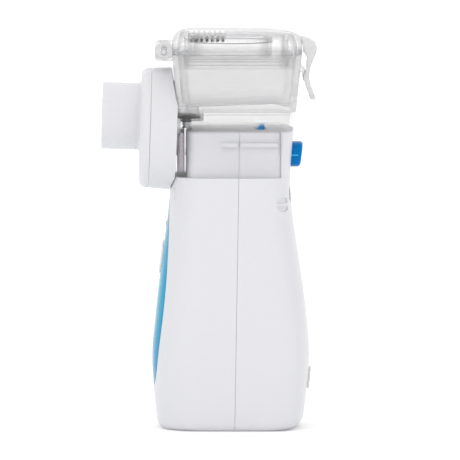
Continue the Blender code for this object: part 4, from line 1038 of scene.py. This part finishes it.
def lid():
    """The lid's shell with the seal's plug, the collar, the hinge barrel and the vents."""
    rise = LID_TOP - LID_SIDE_TOP
    levels = [LID_SIDE_TOP + rise * sin(radians(angle)) for angle in range(0, 91, 9)]
    foot = [lid_ring(LID_FOOT, 0.15), lid_ring(LID_FOOT + FOOT_LINE)]
    shell = loft("lid_skin", [*foot, *(roof_drop(lid_ring(z)) for z in levels)])
    under = LID_TOP - LID_ROOF
    inside = [lid_ring(LID_FOOT - 2, LID_WALL), lid_ring(LID_SIDE_TOP, LID_WALL)]
    inside.append(roof_drop([(x * 0.98, y * 0.96, under) for x, y, z in lid_ring(126.8, LID_WALL)]))
    cut(shell, loft("inside", inside))
    inset_roof = under + 0.3
    plug = loft("plug", [cup_ring(PLUG, z) for z in (118.9, inset_roof)])
    cut(plug, loft("plug_inside", [cup_ring(PLUG, z, 1.2) for z in (117.0, 131.0)]))
    y, z = LID_HINGE
    web = [(y, z + 1.0), (y, z + 2.5), (-18.2, z + 2.5), (-18.2, z + 0.2), (-19.0, z + 0.2)]
    join(
        shell,
        plug,
        pipe("collar", COLLAR_RADIUS - COLLAR_WALL, COLLAR_RADIUS, COLLAR_LOW, inset_roof),
        slab("knuckle", hinge_outline(1), "X", -KNUCKLE_HALF_WIDTH, KNUCKLE_HALF_WIDTH, 0.3),
        slab("web", web, "X", -KNUCKLE_HALF_WIDTH, KNUCKLE_HALF_WIDTH),
    )
    for side in (-1, 1):
        inner, outer = side * (EAR_INNER - 0.2), side * (EAR_OUTER + GAP)
        cut(shell, rod("ear_room", "X", LID_HINGE, inner, outer, KNUCKLE_RADIUS + GAP))
    cut(shell, rod("pin_bore", "X", LID_HINGE, -10, 10, PIN_BORE, 32))
    cut(shell, *vent_blocks("vent", 0.0, 0.0, under - 0.4, LID_TOP + 2))
    stand_for(shell, "lid", 28)
    shade_lines(shell, (LID_FOOT + FOOT_LINE / 2,))


def lid_seal():
    """A soft ring with narrow grooves between the lips that press on the cup's mouth."""
    low, high = SEAL_BOX[0].z, SEAL_BOX[1].z
    rows = [(low, 0.3), (low + 0.3, 0.0)]
    for middle in SEAL_GROOVES:
        rows += [(middle - 0.28, 0.0), (middle - 0.14, 0.4), (middle + 0.14, 0.4), (middle + 0.28, 0.0)]
    rows += [(high - 0.2, 0.0), (high, 0.2)]
    seal = loft("lid_seal_skin", [cup_ring(SEAL, z, inset) for z, inset in rows])
    cut(seal, loft("seal_inside", [cup_ring(SEAL, z, SEAL_THICKNESS) for z in (low - 2, high + 2)]))
    stand_for(seal, "lid_seal", 40)
    shade_lines(seal, SEAL_GROOVES)


def shade_lines(obj, heights):
    """Gives the narrow level bands of faces at these heights the look of a shaded line."""
    obj.data.materials.append(MATERIALS["groove_line"])
    vertices = obj.data.vertices
    for face in obj.data.polygons:
        levels = [vertices[index].co.z / MM for index in face.vertices]
        low, high = min(levels), max(levels)
        narrow = 0.1 < high - low < 0.5
        if narrow and any(low - 0.01 <= height <= high + 0.01 for height in heights):
            face.material_index = 1


def vent_blocks(name, shorter, slimmer, low, high, bevel=0.0):
    """A block in each vent, that much shorter and slimmer on each side."""
    x, half = VENT_HALF_LENGTH - shorter, VENT_WIDTH / 2 - slimmer
    middles = [VENT_FIRST + VENT_PITCH * number for number in range(VENT_COUNT)]
    return [block(name, (-x, y - half, low), (x, y + half, high), bevel) for y in middles]


def vent_painted_shade():
    """Dark strips at the foot of each vent, painted shade for the dark reflections seen down the vents, the
    clear bed that holds them, and the collar's rim.
    """
    under = LID_TOP - LID_ROOF
    # Black strips in the vents: painted shade, not flaps of the real lid.
    shade_strip, *shade_strips = vent_blocks("vent_painted_shade", 0.2, 0.06, VENT_SHADE_LOW, VENT_SHADE_HIGH, 0.05)
    dress(join(shade_strip, *shade_strips), "lid", "black_plastic")
    last = VENT_FIRST + VENT_PITCH * (VENT_COUNT - 1)
    low = (-VENT_HALF_LENGTH - 1, VENT_FIRST - 1, VENT_SHADE_HIGH - 0.05)
    bed = block("vent_bed", low, (VENT_HALF_LENGTH + 1, last + 1, under + 0.1), 0.2)
    dress(bed, "lid", "clear_silicone")
    # A grey ring at the collar's rim: painted shade for the dark line that the clear rim's edge shows.
    rim = pipe("collar_rim_painted_line", COLLAR_RADIUS - 0.1, COLLAR_RADIUS + 0.3, RIM_HEIGHT, RIM_HEIGHT + 0.25)
    dress(rim, "lid", "grey_plastic")


def lid_latch():
    """The strap that springs over the cup's lug, with its thumb lip turned out at the foot."""
    crown = [(22.7, 128.15), (24.3, 127.85), (25.9, 127.2), (27.4, 126.2), (28.15, 124.9), (27.9, 123.4)]
    outer = through([*crown, (26.9, 121.0), (25.95, 118.2), (25.65, 115.2), (26.2, 112.0), (27.45, 108.7)], 5)
    tip = arc((26.65, 108.75), 0.78, 0, -180, 6)
    inner = through([(25.85, 109.2), (24.6, 112.0), (23.9, 114.6)], 5)
    hook = [(23.4, 115.6), (23.4, 116.3), (24.6, 116.45)]
    back = through([(24.62, 117.0), (24.72, 119.6), (25.0, 122.4)], 4)
    root = [(24.6, 123.2), (23.65, 123.6), (23.6, 125.8), (23.4, 127.1), (22.95, 127.8)]
    outline = [*outer, *tip, *inner, *hook, *back, *root]
    latch = slab("lid_latch_skin", outline, "X", -LATCH_HALF_WIDTH, LATCH_HALF_WIDTH, 0.45)
    stand_for(latch, "lid_latch", 30)


# ---------------------------------------------------------------- adapter and mesh unit

def tilted(obj):
    pivot = Vector((0, FLANGE_REAR, FLANGE_HEIGHT)) * MM
    lean = Matrix.Rotation(ADAPTER_TILT, 4, "X")
    obj.data.transform(Matrix.Translation(pivot) @ lean @ Matrix.Translation(-pivot))
    return obj


def flange_turned(name, profile):
    """A profile of (radius, distance ahead of Y = 0) turned about the flange's axis."""
    return turned(name, profile, (0, 0, FLANGE_HEIGHT), (0, -1, 0), 128)


def adapter():
    ahead, split = -FLANGE_FRONT, -FLANGE_SPLIT
    rim = arc((FLANGE_FRONT_RADIUS - FLANGE_EDGE, ahead - FLANGE_EDGE), FLANGE_EDGE, 90, 0, 12)
    seam = [(FLANGE_FRONT_RADIUS + 0.03, split + 0.2), (FLANGE_FRONT_RADIUS - 0.12, split + 0.05)]
    front = flange_turned("adapter_front_skin", [(0.0, ahead), *rim, *seam, (0.0, split + 0.05)])
    lip = 0.7
    outside = arc((TUBE_RADIUS - lip, -TUBE_FRONT - lip), lip, 0, 90, 8)
    inside = arc((TUBE_BORE + lip, -TUBE_FRONT - lip), lip, 90, 180, 8)
    root = -FLANGE_FRONT - 1.5
    fillet = arc((TUBE_RADIUS + 0.8, -FLANGE_FRONT + 0.8), 0.8, 270, 180, 6)
    profile = [(TUBE_BORE, root), (TUBE_RADIUS + 0.8, root), *fillet, *outside, *inside]
    tube = turned("tube", profile, (0, 0, MESH_HEIGHT), (0, -1, 0), 96)
    inner_mouth = rod("mouth", "Y", MESH_AXIS, TUBE_FRONT + 3, -20, TUBE_BORE, 96)
    for piece in (front, tube, inner_mouth):
        tilted(piece)
    join(cut(front, inner_mouth), tube)
    stand_for(front, "adapter_front", 30)
    rear = -FLANGE_REAR
    seam = [(FLANGE_FRONT_RADIUS - 0.12, split - 0.05), (FLANGE_FRONT_RADIUS + 0.03, split - 0.2)]
    profile = [(0.0, split - 0.05), *seam, (FLANGE_RADIUS, rear), (0.0, rear)]
    ring = tilted(flange_turned("adapter_ring_skin", profile))
    hollow = ((0.0, split + 3), (17.6, split + 3), (17.6, 21.0), (0.0, 21.0))
    hole = rod("boss_hole", "Y", MESH_AXIS, -30, -10, BOSS_RADIUS + 0.5, 96)
    cut(
        ring,
        tilted(flange_turned("hollow", hollow)),
        hole,
        cup_form("seat_low", CUP_BASE, -0.45, 70, 104.4),
        cup_form("seat_high", RESERVOIR, -0.45, 104.3, 123.0),
        casing_form("seat_body", -0.45, 60.0, SHOULDER),
    )
    stand_for(ring, "adapter_ring", 30)


def mesh_unit():
    """The vibrating mesh at the mouthpiece's inner end: seal, disc, piezo ring and retainer."""
    centre, axis = (0, 0, MESH_HEIGHT), (0, -1, 0)
    edge = 0.12
    rings = (
        ("mesh_seal", 4.2, 8.15, 18.9, 20.2),
        ("piezo_ring", 5.0, 7.9, 21.15, 21.9),
        ("mesh_retainer", 5.6, 8.15, 22.2, 23.3),
    )
    for node, inner, outer, low, high in rings:
        profile = [(inner + edge, high), (outer - edge, high), (outer, high - edge), (outer, low + edge)]
        profile += [(outer - edge, low), (inner + edge, low), (inner, low + edge), (inner, high - edge)]
        stand_for(turned(f"{node}_fine", profile, centre, axis), node)
    dome = [(2.6 * share, 20.85 + 0.45 * (1 - share**2)) for share in (0, 0.25, 0.5, 0.75, 1.0)]
    under = [(radius, height - 0.3) for radius, height in reversed(dome)]
    profile = [*dome, (7.9, 20.85), (7.9, 20.55), *under]
    stand_for(turned("mesh_plate_fine", profile, centre, axis), "mesh_plate")


# ---------------------------------------------------------------- buttons and small parts

def power_button():
    """A dished round cap with a raised rim, on its stem."""
    radius = BUTTON_RADIUS
    rim = arc((radius - 0.5, 0.05), 0.5, 0, 90, 6)
    dish = [(4.2, 0.42), (3.4, 0.3), (2.0, 0.22), (0.0, 0.2)]
    stem = [(radius, -3.6), (6.6, -3.6), (6.6, -4.6), (1.6, -4.6), (1.6, -6.6), (0.0, -6.6)]
    outward = Vector(button_point(-1)) - Vector(button_point(0))
    profile = [*reversed(dish), *reversed(rim), *stem]
    stand_for(turned("power_button_cap", profile, BUTTON_CENTRE, outward, 96), "power_button")


def release_button():
    """An oval thumb piece with a rounded rim, its face leaning a little, and the wedge behind it."""
    z, end, edge = RELEASE_HEIGHT, RELEASE_BOX[1].y, RELEASE_EDGE
    rows = [(15.4, 0.0)]
    for turn in map(radians, range(0, 91, 15)):
        rows.append((end - edge * (1 - sin(turn)), edge * (1 - cos(turn))))
    rings = []
    for y, inset in rows:
        ring = []
        for x, height in oval(RELEASE_HALF_WIDTH - inset, RELEASE_HALF_HEIGHT - inset, z):
            lean = (z + RELEASE_HALF_HEIGHT - height) * RELEASE_SLANT if y > RELEASE_SLANT_FROM else 0.0
            ring.append((x, y - lean, height))
        rings.append(ring)
    cap_shape = from_bmesh("release_button_cap", flat_ended(rings))
    side, half = RELEASE_HALF_WIDTH + 0.05, RIDGE_HALF_HEIGHT
    join(cap_shape, block("ridge", (-side, 17.0, z - half), (side, end - 1.7, z + half)))
    wedge = [(15.0, 91.2), (15.0, 94.9), (12.2, 94.9), (12.2, 93.9), (13.0, 92.6)]
    join(cap_shape, slab("flange", oval(7.7, 5.3, z), "Y", 14.2, 15.9), slab("wedge", wedge, "X", -3.0, 3.0))
    stand_for(cap_shape, "release_button", 30)
    # The faces of the ridge along the button's widest line take a paler cyan: a painted highlight, not a part
    # of another colour.
    cap_shape.data.materials.append(MATERIALS["button_painted_highlight"])
    for face in cap_shape.data.polygons:
        x, _, height = face.center / MM
        if abs(x) > RELEASE_HALF_WIDTH and abs(height - z) < 2 * half:
            face.material_index = 1


def port_cover():
    cover = slab("port_cover_flap", cover_outline(), "Y", 20.0, FAR)
    keep(cover, casing_form("outside", -0.75, 5.0, 30.0))
    cut(cover, casing_form("inside", 0.55, 5.0, 30.0))
    join(cover, block("plug", (-3.6, 23.9, PORT_HEIGHT - 1.35), (3.6, 25.2, PORT_HEIGHT + 1.35), 0.3))
    stand_for(cover, "port_cover")


def battery_door():
    door = casing_form("battery_door_skin", 0.0, 0.0, 9.0)
    plate = block("plate", (-DOOR_HALF_WIDTH, DOOR_FRONT, -2.0), (DOOR_HALF_WIDTH, DOOR_REAR, DOOR_TOP))
    half = DOOR_KNUCKLE_HALF
    join(plate, block("tongue", (-half, DOOR_REAR - 1.0, -2.0), (half, DOOR_HINGE[0], DOOR_TOP)))
    keep(door, plate)
    for side in (-1, 1):
        cut(door, rod("edge_swing", "X", DOOR_HINGE, side * half, side * 17.0, DOOR_EDGE_SWING, 48))
    join(
        door,
        rod("knuckle", "X", DOOR_HINGE, -half, half, DOOR_KNUCKLE_RADIUS, 40),
        rod("pips", "X", DOOR_HINGE, -half - 1.1, half + 1.1, DOOR_PIP_RADIUS, 32),
    )
    for number in range(GRIP_COUNT):
        middle = GRIP_FIRST + GRIP_PITCH * number
        cut(door, block("grip", (-5.0, middle - GRIP_HALF, -1.0), (5.0, middle + GRIP_HALF, 0.4)))
    stand_for(door, "battery_door")


def screws():
    """Pan-head screws with a cross recess."""
    for side, tag in SIDES:
        seat = (side * SCREW_X, SCREW_HEAD_SEAT + GAP, SCREW_HEIGHT)
        head = arc((1.3, 1.2), 0.8, 90, 0, 6)
        shank = [(2.1, 0.0), (1.0, 0.0), (1.0, -10.5), (0.0, -11.2)]
        screw = turned(f"case_screw_{tag}_fine", [(0.0, 2.0), *head, *shank], seat, (0, 1, 0), 40)
        x, y, z = seat
        for wide, tall in ((1.1, 0.25), (0.25, 1.1)):
            cut(screw, block("recess", (x - wide, y + 1.1, z - tall), (x + wide, y + 3, z + tall)))
        stand_for(screw, f"case_screw_{tag}")


def indicator_lens():
    low, high = span("indicator_lens")
    stand_for(block("indicator_lens_fine", low, high, 0.35), "indicator_lens")


def hinge_pin():
    low, high = span("lid_hinge_pin")
    y, z = LID_HINGE
    edge = 0.2
    profile = [(0.0, high.x), (1.0 - edge, high.x), (1.0, high.x - edge), (1.0, low.x + edge)]
    profile += [(1.0 - edge, low.x), (0.0, low.x)]
    stand_for(turned("lid_hinge_pin_fine", profile, (0, y, z), (1, 0, 0), 40), "lid_hinge_pin")


# ---------------------------------------------------------------- stage, light and camera

def stage():
    shape = bmesh.new()
    bmesh.ops.create_grid(shape, x_segments=1, y_segments=1, size=FLOOR_SIZE)
    floor = from_bmesh("floor", shape)
    tree, shader, place = material("floor_white", grey(0.9))
    inputs = {
        "Base Color": mixed(tree, noise(tree, place, 3.0, 2.0), grey(0.9), grey(0.92)),
        "Roughness": 0.9,
        "Specular IOR Level": 0.0,
        "Emission Color": grey(1.0),
        "Emission Strength": 0.12,
    }
    fill(tree, shader, inputs)
    floor.data.materials.append(MATERIALS["floor_white"])


def world():
    """A white light tent, brighter overhead and a little darker to the object's front and rear."""
    made = bpy.data.worlds.new("tent")
    bpy.context.scene.world = made
    made.use_nodes = True
    tree = made.node_tree
    direction = add(tree, "TexCoord", {}).outputs["Generated"]
    split = add(tree, "SeparateXYZ", {"Vector": direction})
    up = ranged(tree, split.outputs["Z"], 1.0, 1.35, 0.05, 1.0)
    across = add(tree, "Math", {0: split.outputs["Y"]}, operation="ABSOLUTE")
    dim = ranged(tree, across.outputs[0], 1.0, 0.7, 0.62, 0.97)
    strength = add(tree, "Math", {0: up, 1: dim}, operation="MULTIPLY")
    fill(tree, tree.nodes["Background"], {"Strength": strength.outputs[0], "Color": grey(1.0)})


def area_light(name, place, size, power):
    lamp = bpy.data.lights.new(name, "AREA")
    lamp.shape = "RECTANGLE"
    lamp.size, lamp.size_y = size
    lamp.energy = power
    obj = link(bpy.data.objects.new(name, lamp))
    obj.location = place
    obj.rotation_euler = (LIGHT_AIM - obj.location).to_track_quat("-Z", "Y").to_euler()
    obj.visible_camera = False


def camera():
    data = bpy.data.cameras.new("camera")
    data.sensor_width = SENSOR_WIDTH
    data.lens = SENSOR_WIDTH * VIEW_DISTANCE / VIEW_WIDTH
    data.clip_start, data.clip_end = VIEW_CLIP
    obj = link(bpy.data.objects.new("camera", data))
    away = Vector((cos(VIEW_ELEVATION), 0.0, sin(VIEW_ELEVATION)))
    obj.location = (Vector(VIEW_AIM) + away * VIEW_DISTANCE) * MM
    obj.rotation_euler = (-away).to_track_quat("-Z", "Y").to_euler()
    bpy.context.scene.camera = obj


front_shell()
rear_shell()
front_panel()
cup_base()
reservoir()
cup_contacts()
lid()
lid_seal()
vent_painted_shade()
lid_latch()
adapter()
mesh_unit()
power_button()
release_button()
port_cover()
battery_door()
screws()
indicator_lens()
hinge_pin()
for name, obj in frame["nodes"].items():
    for material_slot in obj.material_slots:
        material_slot.material = MATERIALS[LOOKS.get(name, SLOTS[name])]
stage()
world()
area_light("key", (0.75, -0.45, 0.75), (0.5, 0.5), 0.2)
area_light("fill", (1.3, -0.05, 0.16), (0.16, 0.08), 0.12)
area_light("strip", (0.34, -0.2, 0.2), (0.014, 0.38), 0.05)
camera()
bpy.context.scene.view_settings.view_transform = "Standard"
bpy.context.scene.cycles.max_bounces = 20
bpy.context.scene.cycles.transmission_bounces = 20
bpy.context.scene.cycles.transparent_max_bounces = 24
